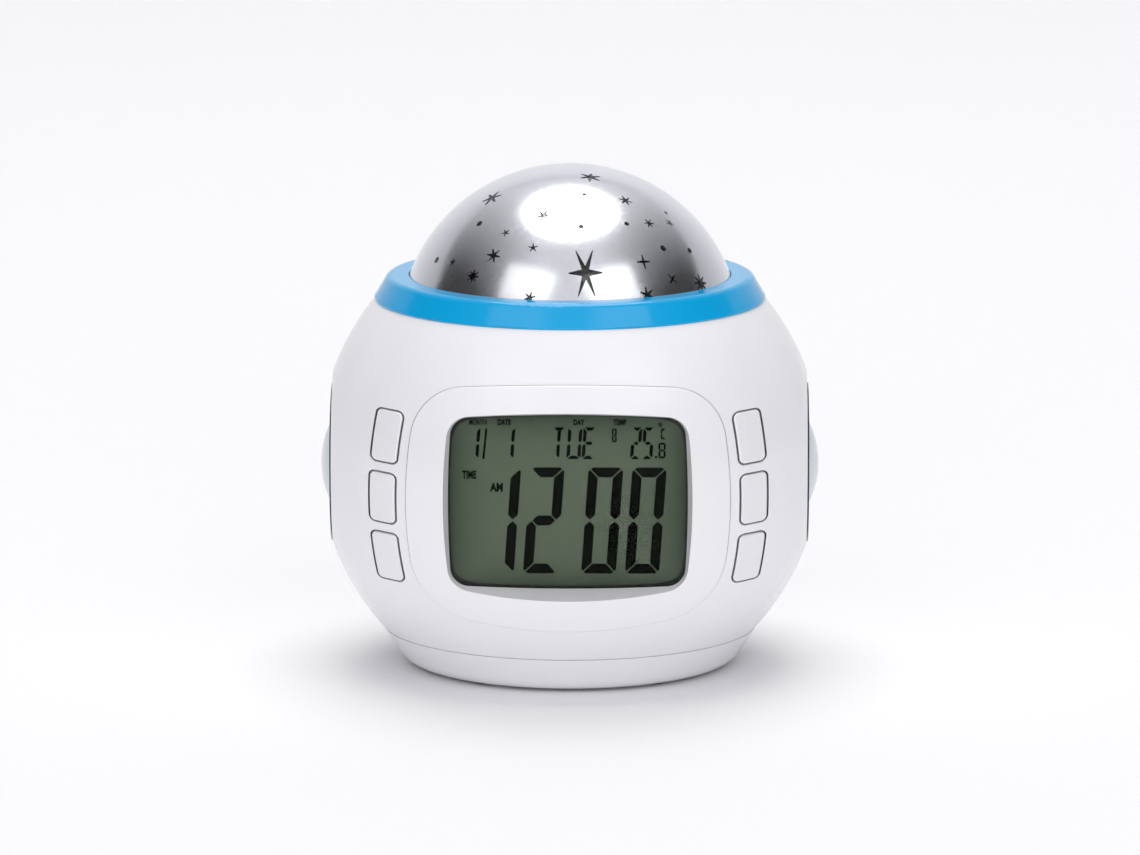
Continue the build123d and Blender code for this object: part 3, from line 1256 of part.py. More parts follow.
def lead(points):
    """A two-core lead: one round tube along a path with rounded bends."""
    with BuildPart() as tube:
        with BuildLine() as route:
            FilletPolyline(*points, radius=LEAD_BEND_R)
        with BuildSketch(Plane(origin=route.line @ 0, z_dir=route.line % 0)):
            Circle(LEAD_R)
        sweep()
    return tube


# Leads run from the sockets on the board to the speaker, the battery box, the lamp and the side boards
socket_x, socket_z = SOCKETS["speaker"]
speaker_lead = lead([
    (socket_x, SOCKET_TOP_Y, socket_z),
    (socket_x, LEAD_SPEAKER_BEND_Y, socket_z),
    (-TERMINAL_X, BASKET_BACK_Y - LEAD_TAIL, SPEAKER_Z),
    (-TERMINAL_X, BASKET_BACK_Y + SPEAKER_BASKET_T, SPEAKER_Z),
])
keep(speaker_lead, "speaker_lead")

socket_x, socket_z = SOCKETS["battery"]
battery_lead = lead([
    (socket_x, SOCKET_TOP_Y, socket_z),
    (socket_x, SOCKET_TOP_Y + LEAD_TAIL, socket_z),
    (socket_x, SOCKET_TOP_Y + LEAD_TAIL, BOX_TOP_Z + BOX_WALL),
])
keep(battery_lead, "battery_lead")

socket_x, socket_z = SOCKETS["lamp"]
lamp_lead = lead([
    (socket_x, SOCKET_TOP_Y, socket_z),
    (socket_x, SOCKET_TOP_Y + LEAD_TAIL, socket_z),
    (0, 0, DECK_LOW_Z - LEAD_TAIL),
    (0, 0, LAMP_BOARD_Z),
])
keep(lamp_lead, "lamp_lead")

for side, sign in SIDES.items():
    socket_x, socket_z = SOCKETS[side]
    side_lead = lead([
        (socket_x, SOCKET_TOP_Y, socket_z),
        (socket_x, SOCKET_TOP_Y + LEAD_TAIL, socket_z),
        (sign * (SIDE_BOARD_X - SIDE_BOARD_T), SOCKET_TOP_Y + LEAD_TAIL, socket_z),
    ])
    keep(side_lead, f"{side}_side_lead")
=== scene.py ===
import math

import bpy
import numpy as np
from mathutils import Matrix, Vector


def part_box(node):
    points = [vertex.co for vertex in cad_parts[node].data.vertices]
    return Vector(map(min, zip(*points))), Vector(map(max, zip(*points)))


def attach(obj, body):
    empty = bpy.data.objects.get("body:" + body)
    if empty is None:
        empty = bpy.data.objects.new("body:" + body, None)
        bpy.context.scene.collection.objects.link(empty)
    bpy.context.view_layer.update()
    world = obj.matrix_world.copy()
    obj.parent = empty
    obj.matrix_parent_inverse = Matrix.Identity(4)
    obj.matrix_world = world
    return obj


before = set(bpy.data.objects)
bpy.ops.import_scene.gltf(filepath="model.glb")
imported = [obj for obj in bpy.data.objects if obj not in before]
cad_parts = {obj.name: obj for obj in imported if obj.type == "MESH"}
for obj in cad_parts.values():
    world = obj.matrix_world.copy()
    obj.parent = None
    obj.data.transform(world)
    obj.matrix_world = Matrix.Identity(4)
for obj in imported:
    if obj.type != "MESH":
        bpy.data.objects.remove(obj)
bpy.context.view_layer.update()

# Shells, base and battery door: the white ball of the clock.
# Two half shells and a base cup of gloss ABS, injection moulded and held together by screws,
# with a door under the base that snaps on two pins.
MM = 0.001
TINT_DRIFT_MM = 45
POLISH_DRIFT_MM = 7


def linear(hex_colour):
    """One sRGB hex colour as linear red, green and blue with full alpha."""
    srgb = np.array([int(hex_colour[i:i + 2], 16) for i in (1, 3, 5)]) / 255
    curve = ((srgb + 0.055) / 1.055) ** 2.4
    return (*np.where(srgb <= 0.04045, srgb / 12.92, curve).tolist(), 1.0)


def add_node(tree, kind, settings, inputs):
    """Adds one node: settings are its own fields, inputs fill its sockets with values or links.

    A kind that is a node already in the tree gets the inputs alone.
    """
    node = tree.nodes.new(kind) if isinstance(kind, str) else kind
    for field, value in settings.items():
        setattr(node, field, value)
    for socket, value in inputs.items():
        if isinstance(value, bpy.types.NodeSocket):
            tree.links.new(value, node.inputs[socket])
        else:
            node.inputs[socket].default_value = value
    return node


def new_finish(name):
    """A new material, with its tree, its shader and the piece's own coordinates in metres."""
    finish = bpy.data.materials.new(name)
    finish.use_nodes = True
    tree = finish.node_tree
    place = add_node(tree, "ShaderNodeTexCoord", {}, {}).outputs["Object"]
    return finish, tree, tree.nodes["Principled BSDF"], place


def dress(finish, *names):
    """Gives CAD nodes a finish in place of the plain one that they were packed with."""
    for name in names:
        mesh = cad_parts[name].data
        mesh.materials.clear()
        mesh.materials.append(finish)


def moulded_plastic(name, tint, drift, gloss, peel_mm, peel_depth_mm, ior=1.53):
    """Moulded plastic: two near tints that drift slowly as the melt cooled, a polish that wanders
    between two roughnesses, and the faint orange peel of the mould's surface."""
    finish, tree, shader, place = new_finish(name)
    cloud = add_node(tree, "ShaderNodeTexNoise", {},
                     {"Vector": place, "Scale": 1 / (TINT_DRIFT_MM * MM), "Detail": 2.0})
    colour = add_node(tree, "ShaderNodeMix", {"data_type": "RGBA"},
                      {"Factor": cloud.outputs["Fac"], 6: linear(tint), 7: linear(drift)})
    polish = add_node(tree, "ShaderNodeTexNoise", {},
                      {"Vector": place, "Scale": 1 / (POLISH_DRIFT_MM * MM), "Detail": 3.0})
    rough = add_node(tree, "ShaderNodeMapRange", {},
                     {"Value": polish.outputs["Fac"], "From Min": 0.3, "From Max": 0.7,
                      "To Min": gloss[0], "To Max": gloss[1]})
    peel = add_node(tree, "ShaderNodeTexNoise", {},
                    {"Vector": place, "Scale": 1 / (peel_mm * MM), "Detail": 1.0})
    bump = add_node(tree, "ShaderNodeBump", {},
                    {"Height": peel.outputs["Fac"], "Distance": peel_depth_mm * MM, "Strength": 1.0})
    add_node(tree, shader, {}, {"Base Color": colour.outputs[2], "Roughness": rough.outputs[0],
                                "Normal": bump.outputs[0], "IOR": ior})
    return finish


# Moulded ABS, polished mould: near white with a breath of lavender, a soft broad gloss
white_abs = moulded_plastic("moulded_white_abs", "#F3F2F5", "#EEEEF1", (0.22, 0.26), 12, 0.004)
dress(white_abs, "front_shell", "rear_shell", "base_cover", "battery_door")

# Rubber feet: four soft black pads pressed into shallow round seats under the base.
# Moulded rubber with a fine matt bloom.
foot_rubber, tree, shader, place = new_finish("moulded_black_rubber")
bloom = add_node(tree, "ShaderNodeTexNoise", {},
                 {"Vector": place, "Scale": 1 / (0.6 * MM), "Detail": 4.0})
shade = add_node(tree, "ShaderNodeMix", {"data_type": "RGBA"},
                 {"Factor": bloom.outputs["Fac"], 6: linear("#1A1A1B"), 7: linear("#2B2B2C")})
grip = add_node(tree, "ShaderNodeBump", {},
                {"Height": bloom.outputs["Fac"], "Distance": 0.02 * MM, "Strength": 1.0})
add_node(tree, shader, {}, {"Base Color": shade.outputs[2], "Roughness": 0.75,
                            "Normal": grip.outputs[0], "IOR": 1.52})
dress(foot_rubber, "feet")

# Cells and contacts: three AAA cells side by side, between leaf contacts in the base.
# Each cell is a steel can in a printed foil jacket with bare metal ends.
JACKET_HALF_L = 19.5
cell_jacket, tree, shader, place = new_finish("foil_cell_jacket")
along = add_node(tree, "ShaderNodeSeparateXYZ", {}, {"Vector": place})
outward = add_node(tree, "ShaderNodeMath", {"operation": "ABSOLUTE"}, {0: along.outputs["X"]})
bare_end = add_node(tree, "ShaderNodeMath", {"operation": "GREATER_THAN"},
                    {0: outward.outputs[0], 1: JACKET_HALF_L * MM})
scuff = add_node(tree, "ShaderNodeTexNoise", {},
                 {"Vector": place, "Scale": 1 / (3 * MM), "Detail": 4.0})
jacket = add_node(tree, "ShaderNodeMix", {"data_type": "RGBA"},
                  {"Factor": bare_end.outputs[0], 6: linear("#2A2D33"), 7: linear("#B9B4A8")})
wear = add_node(tree, "ShaderNodeMapRange", {},
                {"Value": scuff.outputs["Fac"], "To Min": 0.22, "To Max": 0.42})
add_node(tree, shader, {}, {"Base Color": jacket.outputs[2], "Metallic": 0.8,
                            "Roughness": wear.outputs[0]})
dress(cell_jacket, "batteries")

# Zinc-plated steel: cool grey, with fine drawn scratches that break up the shine
plated_steel, tree, shader, place = new_finish("zinc_plated_steel")
drawn = add_node(tree, "ShaderNodeMapping", {}, {"Vector": place, "Scale": (1.0, 0.15, 1.0)})
scratch = add_node(tree, "ShaderNodeTexNoise", {},
                   {"Vector": drawn.outputs[0], "Scale": 1 / (0.5 * MM), "Detail": 4.0})
sheen = add_node(tree, "ShaderNodeMix", {"data_type": "RGBA"},
                 {"Factor": scratch.outputs["Fac"], 6: linear("#A3A4A8"), 7: linear("#C6C7CA")})
wear = add_node(tree, "ShaderNodeMapRange", {},
                {"Value": scratch.outputs["Fac"], "To Min": 0.25, "To Max": 0.45})
add_node(tree, shader, {}, {"Base Color": sheen.outputs[2], "Metallic": 1.0,
                            "Roughness": wear.outputs[0]})
dress(plated_steel, "battery_contacts", "base_screws", "shell_screws", "board_screws",
      "deck_screws", "speaker_screws")

# Speaker: a small round driver behind the sound holes of the rear shell.
# A pressed steel basket and magnet, with a pulp-paper cone glued in.
dress(plated_steel, "speaker_frame", "speaker_magnet")
cone_paper, tree, shader, place = new_finish("black_pulp_paper")
pulp = add_node(tree, "ShaderNodeTexNoise", {},
                {"Vector": place, "Scale": 1 / (0.8 * MM), "Detail": 5.0})
fibre = add_node(tree, "ShaderNodeMix", {"data_type": "RGBA"},
                 {"Factor": pulp.outputs["Fac"], 6: linear("#1D1D1E"), 7: linear("#37363A")})
felted = add_node(tree, "ShaderNodeBump", {},
                  {"Height": pulp.outputs["Fac"], "Distance": 0.05 * MM, "Strength": 1.0})
add_node(tree, shader, {}, {"Base Color": fibre.outputs[2], "Roughness": 0.9,
                            "Normal": felted.outputs[0]})
dress(cone_paper, "speaker_cone")

# Boards: the main board behind the display, a small one at each side button and the lamp's.
# Glass-fibre board under green solder mask, whose copper tracks show as paler lines.
circuit_board, tree, shader, place = new_finish("green_solder_mask")
tracks = add_node(tree, "ShaderNodeTexBrick", {"offset": 0.35},
                  {"Vector": place, "Scale": 1 / (5 * MM), "Mortar Size": 0.05,
                   "Color1": linear("#0F4D2B"), "Color2": linear("#125633"),
                   "Mortar": linear("#2C7A4A"), "Brick Width": 0.9, "Row Height": 0.3})
raised = add_node(tree, "ShaderNodeBump", {},
                  {"Height": tracks.outputs["Fac"], "Distance": 0.03 * MM, "Strength": 1.0})
add_node(tree, shader, {}, {"Base Color": tracks.outputs["Color"], "Roughness": 0.38,
                            "Normal": raised.outputs[0], "IOR": 1.55})
dress(circuit_board, "main_board", "left_side_board", "right_side_board", "lamp_board")

# Moulded black plastic with a fine spark-eroded grain, matt
black_abs = moulded_plastic("moulded_black_abs", "#17171A", "#1F1F22", (0.45, 0.58), 0.5, 0.006)
dress(black_abs, "board_chips", "key_switches", "left_side_switch", "right_side_switch", "lamp_deck")

# Natural nylon: warm off-white and slightly waxy
socket_nylon = moulded_plastic("natural_nylon", "#E6DFCB", "#DCD4BD", (0.40, 0.50), 1.0, 0.004)
dress(socket_nylon, "lead_sockets")

# Leads: two-core wires in a soft sleeve, from the sockets on the board to what they feed.
# Extruded PVC, red, with a dull wavy shine.
pvc_sleeve = moulded_plastic("extruded_red_pvc", "#8C1B1B", "#761414", (0.35, 0.48), 2.0, 0.010)
dress(pvc_sleeve, "speaker_lead", "battery_lead", "lamp_lead", "left_side_lead", "right_side_lead")

# Display stack: a liquid crystal panel on a milky light guide, in a black carrier frame.
# The panel's polariser gives the grey green of an unlit display; the darkening towards its edges is
# painted shade.
dress(black_abs, "lcd_frame")
# Milky acrylic: near white, with a satin face that spreads the light
light_guide = moulded_plastic("milky_acrylic", "#EEF0EA", "#E4E8DF", (0.30, 0.40), 2.0, 0.002)
dress(light_guide, "lcd_backlight")

# Polyimide film: clear amber over fine copper lines, smooth and a little shiny
flex_film, tree, shader, place = new_finish("amber_polyimide_film")
lines = add_node(tree, "ShaderNodeTexWave", {"bands_direction": "X"},
                 {"Vector": place, "Scale": 1 / (20 * 0.8 * MM)})
copper = add_node(tree, "ShaderNodeMix", {"data_type": "RGBA"},
                  {"Factor": lines.outputs["Fac"], 6: linear("#B06A1C"), 7: linear("#D08B3A")})
add_node(tree, shader, {}, {"Base Color": copper.outputs[2], "Roughness": 0.35, "IOR": 1.7})
dress(flex_film, "lcd_flex")

# Twisted nematic panel: a flat grey green, matt from its film, with painted shade round the rim from the
# window's recess
RIM_SHADE_SHARPNESS = 4.5
lcd_low, lcd_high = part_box("lcd_glass")
lcd_middle = (lcd_low + lcd_high) / 2
lcd_half = (lcd_high - lcd_low) / 2
lcd_panel, tree, shader, place = new_finish("twisted_nematic_panel")
centred = add_node(tree, "ShaderNodeMapping", {"vector_type": "TEXTURE"},
                   {"Vector": place, "Location": tuple(lcd_middle),
                    "Scale": (lcd_half.x, 1.0, lcd_half.z)})
from_middle = add_node(tree, "ShaderNodeVectorMath", {"operation": "ABSOLUTE"},
                       {0: centred.outputs[0]})
sides = add_node(tree, "ShaderNodeSeparateXYZ", {}, {"Vector": from_middle.outputs[0]})
nearest = add_node(tree, "ShaderNodeMath", {"operation": "MAXIMUM"},
                   {0: sides.outputs["X"], 1: sides.outputs["Z"]})
# Painted shade: the panel darkens towards its rim, where the recess round the window shades it
painted_rim_shade = add_node(tree, "ShaderNodeMath", {"operation": "POWER"}, {0: nearest.outputs[0], 1: RIM_SHADE_SHARPNESS})
film = add_node(tree, "ShaderNodeTexNoise", {},
                {"Vector": place, "Scale": 1 / (9 * MM), "Detail": 3.0})
hue = add_node(tree, "ShaderNodeMix", {"data_type": "RGBA"},
               {"Factor": film.outputs["Fac"], 6: linear("#616A59"), 7: linear("#6A7362")})
rim_shaded_colour = add_node(tree, "ShaderNodeMix", {"data_type": "RGBA"},
                  {"Factor": painted_rim_shade.outputs[0], 6: hue.outputs[2], 7: linear("#3E4639")})
add_node(tree, shader, {}, {"Base Color": rim_shaded_colour.outputs[2], "Roughness": 0.5, "IOR": 1.25})
dress(lcd_panel, "lcd_glass")

# Display segments: the dark bars of the liquid crystal that make up the time, date and heat.
# Each bar is a thin dark plate on the panel's front, with mitred ends and a hairline gap.
BALL_Z = 49.3
SEGMENT_T = 0.06
SEGMENT_LIFT = 0.03
LEAN = 0.07
TIP_CUT = 0.35
GLYPHS = {"0": "abcdef", "1": "bc", "2": "abdeg", "5": "acdfg", "8": "abcdefg",
          "U": "bcdef", "E": "adefg", "C": "adef", "-": "a", "o": "abfg"}


def digit_bars(width, height, bar, gap):
    """The seven bars of one digit as a 7 x 6 x 2 array of outlines, in millimetres.

    The top bar is a trapezoid whose ends lie on the corners' 45 degree lines, moved in by the
    gap; the upper right bar has one such end and one pointed end at half height; the middle bar
    is a hexagon. The others are these mirrored about the digit's middle lines.
    """
    cut = TIP_CUT * bar
    away = gap / math.sqrt(2)
    middle = height / 2
    top = np.array([(cut + away, height), (width - cut - away, height),
                    (width - cut / 2 - away, height - cut / 2), (width - bar - away, height - bar),
                    (bar + away, height - bar), (cut / 2 + away, height - cut / 2)])
    right = np.array([(width, height - cut - away), (width, middle + bar / 2 + away),
                      (width - bar / 2, middle + away), (width - bar, middle + bar / 2 + away),
                      (width - bar, height - bar - away), (width - cut / 2, height - cut / 2 - away)])
    cross = np.array([(bar / 2 + away, middle), (bar + away, middle + bar / 2),
                      (width - bar - away, middle + bar / 2), (width - bar / 2 - away, middle),
                      (width - bar - away, middle - bar / 2), (bar + away, middle - bar / 2)])
    flip_x = np.array([-1, 1])
    flip_z = np.array([1, -1])
    over_x = np.array([width, 0])
    over_z = np.array([0, height])
    return np.stack([top, right, right * flip_z + over_z, top * flip_z + over_z,
                     right * flip_x * flip_z + over_x + over_z, right * flip_x + over_x, cross])


def display_row(cells, base, height, bar, gap):
    """The bars of a row of glyphs: each cell is its glyph, its left edge and its width, in mm.

    The base is the row's foot over the ball's middle, and the bars are so thick and so far apart.
    """
    rows = []
    for glyph, left, width in cells:
        bars = digit_bars(width, height, bar, gap)[["abcdefg".index(x) for x in GLYPHS[glyph]]]
        rows.append(bars + np.array([left, base]))
    return np.concatenate(rows)


def new_piece(name, points, faces, finish):
    """A mesh piece from whole arrays, at the origin, riding on the case."""
    mesh = bpy.data.meshes.new(name)
    mesh.from_pydata(points.tolist(), [], faces)
    mesh.update()
    piece = bpy.data.objects.new(name, mesh)
    bpy.context.scene.collection.objects.link(piece)
    mesh.materials.append(finish)
    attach(piece, "case")
    return piece


def stand_on_panel(outlines):
    """Flat outlines in mm, N x 6 x 2, as closed plates that stand on the panel's front.

    Each outline is turned anticlockwise as seen from the front and drawn out from the panel by the
    plate's thickness.
    """
    x, z = outlines[..., 0], outlines[..., 1]
    after_x, after_z = np.roll(x, -1, axis=1), np.roll(z, -1, axis=1)
    clockwise = (x * after_z - after_x * z).sum(axis=1) < 0
    outlines = np.where(clockwise[:, None, None], outlines[:, ::-1], outlines)
    flat = np.stack([outlines[..., 0], np.zeros_like(x), outlines[..., 1] + BALL_Z], axis=-1) * MM
    back = flat + np.array([0, lcd_low.y - SEGMENT_LIFT * MM, 0])
    front = back - np.array([0, SEGMENT_T * MM, 0])
    points = np.concatenate([front, back], axis=1).reshape(-1, 3)
    starts = 12 * np.arange(len(outlines))[:, None]
    corner = np.arange(6)
    after = np.roll(corner, -1)
    caps = np.concatenate([starts + corner, starts + 6 + corner[::-1]])
    walls = np.stack([after, corner, corner + 6, after + 6], axis=1)
    walls = (starts[:, :, None] + walls[None]).reshape(-1, 4)
    return points, caps.tolist() + walls.tolist()


def leant(outlines):
    """Outlines leant to the right by their height over the foot of the row."""
    foot = outlines[..., 1].min()
    shift = LEAN * (outlines[..., 1] - foot)
    return np.stack([outlines[..., 0] + shift, outlines[..., 1]], axis=-1)


TIME = [("1", -20.65, 8.05), ("2", -10.5, 8.0), ("0", 3.05, 8.1), ("0", 13.25, 8.0)]
DATE = [("1", -23.2, 2.4), ("1", -15.1, 2.4), ("-", -4.0, 3.0), ("1", -4.45, 2.4),
        ("U", -0.4, 3.3), ("E", 3.15, 2.9), ("2", 14.4, 2.4), ("5", 17.05, 2.55)]
time_row = leant(display_row(TIME, base=-19.1, height=25.1, bar=2.3, gap=0.3))
date_row = leant(display_row(DATE, base=8.0, height=7.5, bar=0.78, gap=0.3))
tenths = display_row([("8", 21.05, 1.65)], base=8.2, height=3.7, bar=0.46, gap=0.1)
unit = display_row([("C", 21.6, 1.15)], base=12.7, height=2.5, bar=0.38, gap=0.05)
degree = display_row([("o", 21.05, 0.8)], base=15.0, height=1.6, bar=0.26, gap=0.02)
gauge = display_row([("8", 10.2, 1.15)], base=12.0, height=3.2, bar=0.4, gap=0.05)
slash = np.array([[(-19.9, 8.0), (-19.65, 8.0), (-19.4, 8.0),
                   (-18.7, 15.2), (-18.95, 15.2), (-19.2, 15.2)]])
point = np.array([[(20.25, 8.2), (20.5, 8.2), (20.75, 8.2),
                   (20.75, 8.75), (20.5, 8.75), (20.25, 8.75)]])
figures = np.concatenate([time_row, date_row, tenths, unit, degree, gauge, slash, point])
points, faces = stand_on_panel(figures)

# Dark liquid crystal: near black with a green cast, matt behind the polariser
dark_crystal, tree, shader, place = new_finish("dark_liquid_crystal")
cloudy = add_node(tree, "ShaderNodeTexNoise", {},
                  {"Vector": place, "Scale": 1 / (4 * MM), "Detail": 2.0})
inky = add_node(tree, "ShaderNodeMix", {"data_type": "RGBA"},
                {"Factor": cloudy.outputs["Fac"], 6: linear("#0A0C09"), 7: linear("#121510")})
add_node(tree, shader, {}, {"Base Color": inky.outputs[2], "Roughness": 0.6, "Specular IOR Level": 0.0})
new_piece("lcd_segments", points, faces, dark_crystal)

# Display legends: the small fixed words over the figures, etched in the same panel.
# Words: what they say, the middle of each in mm, its width and height, and how bold it is.
LEGENDS = [("MONTH", -20.9, 16.7, 4.1, 1.4, 0.03), ("DATE", -14.8, 16.7, 3.1, 1.4, 0.05),
           ("DAY", 2.6, 16.7, 2.6, 1.4, 0.05), ("TEMP", 12.05, 16.7, 3.1, 1.4, 0.045),
           ("TIME", -22.95, 4.25, 3.3, 1.95, 0.045), ("AM", -16.65, 1.3, 3.0, 2.15, 0.045)]
LETTER_DEPTH = 0.05
LETTER_STEPS = 3
word_points = []
word_faces = []
for word, x, z, width, height, weight in LEGENDS:
    text = bpy.data.curves.new(word, "FONT")
    text.body = word
    text.offset = weight
    text.extrude = LETTER_DEPTH
    text.resolution_u = LETTER_STEPS
    writing = bpy.data.objects.new(word, text)
    drawn_word = bpy.data.meshes.new_from_object(writing)
    corners = np.empty(3 * len(drawn_word.vertices))
    drawn_word.vertices.foreach_get("co", corners)
    corners = corners.reshape(-1, 3)
    low, high = corners.min(axis=0), corners.max(axis=0)
    corners = (corners - low) / (high - low)
    along = (x + width * (corners[:, 0] - 0.5)) * MM
    depth = lcd_low.y - (SEGMENT_LIFT + SEGMENT_T * corners[:, 2]) * MM
    up = (BALL_Z + z + height * (corners[:, 1] - 0.5)) * MM
    first = sum(len(part) for part in word_points)
    word_points.append(np.stack([along, depth, up], axis=1))
    word_faces += [[first + i for i in face.vertices] for face in drawn_word.polygons]
    bpy.data.objects.remove(writing)
    bpy.data.meshes.remove(drawn_word)
    bpy.data.curves.remove(text)
new_piece("lcd_legends", np.concatenate(word_points), word_faces, dark_crystal)

# Display bezel and window: the raised white face of the clock and the clear window behind its opening.
# The bezel is moulded like the shells; the window is a flat piece of clear polystyrene.
dress(white_abs, "display_bezel")
clear_styrene, tree, shader, place = new_finish("clear_polystyrene")
smear = add_node(tree, "ShaderNodeTexNoise", {},
                 {"Vector": place, "Scale": 1 / (12 * MM), "Detail": 3.0})
haze = add_node(tree, "ShaderNodeMapRange", {},
                {"Value": smear.outputs["Fac"], "To Min": 0.0, "To Max": 0.06})
add_node(tree, shader, {}, {"Base Color": linear("#F6FAF8"), "Transmission Weight": 1.0,
                            "Roughness": haze.outputs[0], "IOR": 1.5})

# The window is the same plastic with a hard coat that takes off most of its mirror
COATED_IOR = 1.1
clear_window = clear_styrene.copy()
clear_window.name = "hard_coated_polystyrene"
clear_window.node_tree.nodes["Principled BSDF"].inputs["IOR"].default_value = COATED_IOR
dress(clear_window, "display_lens")

# Window shadow line: a thin black ring on the back of the window, over the panel's edge, as painted
# shadow for the dark gap round the window's opening.
# Matt black, in the hairline gap between window and panel.
BORDER_HALF_W = 27.45
BORDER_HALF_H = 20.1
BORDER_W = 1.0
BORDER_SAG = 0.8
BORDER_LIFT = 0.03
BORDER_T = 0.05
CORNER_ORDER = 11
LOOP_STEPS = 240
lens_low, lens_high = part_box("display_lens")
window_middle = (lens_low + lens_high) / 2


def tube_loop(half_w, half_h, sag, angle):
    """A picture-tube outline by polar angle: a superellipse of high order, whose sides bulge by the
    sag, less by the square of the way towards the corners. All in millimetres."""
    w, h = half_w - sag, half_h - sag
    powers = np.abs(np.cos(angle) / w) ** CORNER_ORDER + np.abs(np.sin(angle) / h) ** CORNER_ORDER
    reach = powers ** (-1 / CORNER_ORDER)
    x, z = reach * np.cos(angle), reach * np.sin(angle)
    return np.stack([x + sag * x / w * (1 - (z / h) ** 2), z + sag * z / h * (1 - (x / w) ** 2)])


around = np.linspace(0, 2 * math.pi, LOOP_STEPS, endpoint=False)
inner = tube_loop(BORDER_HALF_W, BORDER_HALF_H, BORDER_SAG, around)
outer = tube_loop(BORDER_HALF_W + BORDER_W, BORDER_HALF_H + BORDER_W, BORDER_SAG, around)
section = np.stack([outer, inner, inner, outer], axis=-1) * MM
depth = lens_high.y + np.array([0, 0, BORDER_T, BORDER_T]) * MM + BORDER_LIFT * MM
border_points = np.stack([section[0] + window_middle.x, np.broadcast_to(depth, section[0].shape),
                          section[1] + window_middle.z], axis=-1).reshape(-1, 3)
step = np.arange(len(around))[:, None]
edge = np.arange(4)
after_step, after_edge = np.roll(step, -1, axis=0), np.roll(edge, -1)
border_faces = np.stack([4 * step + edge, 4 * after_step + edge, 4 * after_step + after_edge,
                         4 * step + after_edge], axis=-1).reshape(-1, 4)
# Painted shadow: dull black, with a faint mottle drawn coarser than it is, to show
shadow_line_finish = moulded_plastic("painted_shadow_line", "#0A0B0A", "#121311", (0.55, 0.7), 0.6, 0.002)
# Painted shadow: a black ring that stands for the shade in the gap round the window
new_piece("window_shadow_line", border_points, border_faces.tolist(), shadow_line_finish)

# Keys: six white caps beside the display, three each side, each with a stem onto a tact switch.
# Moulded like the shells, a shade softer in gloss; the switch plungers are black.
key_abs = moulded_plastic("moulded_key_abs", "#F2F0F2", "#EAE9EC", (0.28, 0.38), 1.2, 0.004)
for side in ("left", "right"):
    for row in ("upper", "middle", "lower"):
        dress(key_abs, f"{side}_{row}_key")
        dress(black_abs, f"{side}_{row}_plunger")

# Side buttons: a dished ring, drawn navy, through each flat of the ball, with a pale domed cap in it.
# Both are gloss mouldings; the ring's thin edge shows as a dark line from the front.
# Milky ABS for the caps, pale with a soft gloss, and for the rings a blue deepened to navy as painted
# shade for their shaded edge, dark and shiny
pale_cap = moulded_plastic("milky_pale_abs", "#DDE3E6", "#D3DADF", (0.16, 0.24), 1.6, 0.003)
# Painted shade: the rings' blue is deepened to navy because their thin edge lies in shade when seen from
# the front
navy_abs_with_painted_shade = moulded_plastic("navy_abs_and_painted_shade", "#0A3350", "#082C46", (0.14, 0.2), 12, 0.004)
for side in ("left", "right"):
    dress(navy_abs_with_painted_shade, f"{side}_side_ring")
    dress(pale_cap, f"{side}_side_button")
    dress(black_abs, f"{side}_side_plunger")

# Star lamp: four clear LEDs on a small board under the dome.
# Water-clear epoxy, cast.
clear_epoxy, tree, shader, place = new_finish("water_clear_epoxy")
bubble = add_node(tree, "ShaderNodeTexNoise", {},
                  {"Vector": place, "Scale": 1 / (1.5 * MM), "Detail": 2.0})
cast = add_node(tree, "ShaderNodeMapRange", {},
                {"Value": bubble.outputs["Fac"], "To Min": 0.02, "To Max": 0.12})
add_node(tree, shader, {}, {"Base Color": linear("#F4F6FA"), "Transmission Weight": 0.9,
                            "Roughness": cast.outputs[0], "IOR": 1.54})
dress(clear_epoxy, "lamps")

# Dome: a clear polystyrene half ball with a silver skin over it, cut out in stars.
# The skin is vacuum metallised: a bright mirror with a slight spread, and a grain of fine dust.
dress(clear_styrene, "dome_lens")
silver_skin, tree, shader, place = new_finish("vacuum_metallised_silver")
dust = add_node(tree, "ShaderNodeTexNoise", {},
                {"Vector": place, "Scale": 1 / (0.9 * MM), "Detail": 4.0})
bright = add_node(tree, "ShaderNodeMix", {"data_type": "RGBA"},
                  {"Factor": dust.outputs["Fac"], 6: linear("#ECEEF5"), 7: linear("#F5F6FA")})
spread = add_node(tree, "ShaderNodeMapRange", {},
                  {"Value": dust.outputs["Fac"], "To Min": 0.13, "To Max": 0.24})
add_node(tree, shader, {}, {"Base Color": bright.outputs[2], "Metallic": 1.0,
                            "Roughness": spread.outputs[0]})
dress(silver_skin, "star_mask")

# Top ring: the blue ring that clips into the shells' rim and holds the dome down.
# Gloss blue ABS, moulded in a polished mould.
blue_abs = moulded_plastic("moulded_blue_abs", "#00A6E0", "#009FD9", (0.10, 0.14), 12, 0.004, 1.5)
dress(blue_abs, "top_ring")

# Studio: a pale paper sweep, a wide soft light overhead, two softboxes and a broad fill in front.
# The sweep's floor carries the clock and its back wall shows in the dome.
SWEEP_HALF_W = 7.0
SWEEP_FRONT_Y = -3.0
SWEEP_BEND_Y = 2.2
SWEEP_BEND_R = 0.8
SWEEP_TOP_Z = 2.6
SWEEP_BEND_STEPS = 25
bend = np.linspace(0, math.pi / 2, SWEEP_BEND_STEPS)
profile_y = np.concatenate([[SWEEP_FRONT_Y], SWEEP_BEND_Y + SWEEP_BEND_R * np.sin(bend),
                            [SWEEP_BEND_Y + SWEEP_BEND_R]])
profile_z = np.concatenate([[0], SWEEP_BEND_R * (1 - np.cos(bend)), [SWEEP_TOP_Z]])
across = np.linspace(-SWEEP_HALF_W, SWEEP_HALF_W, 3)
grid_x, grid_y = np.meshgrid(across, profile_y)
grid_z = np.meshgrid(across, profile_z)[1]
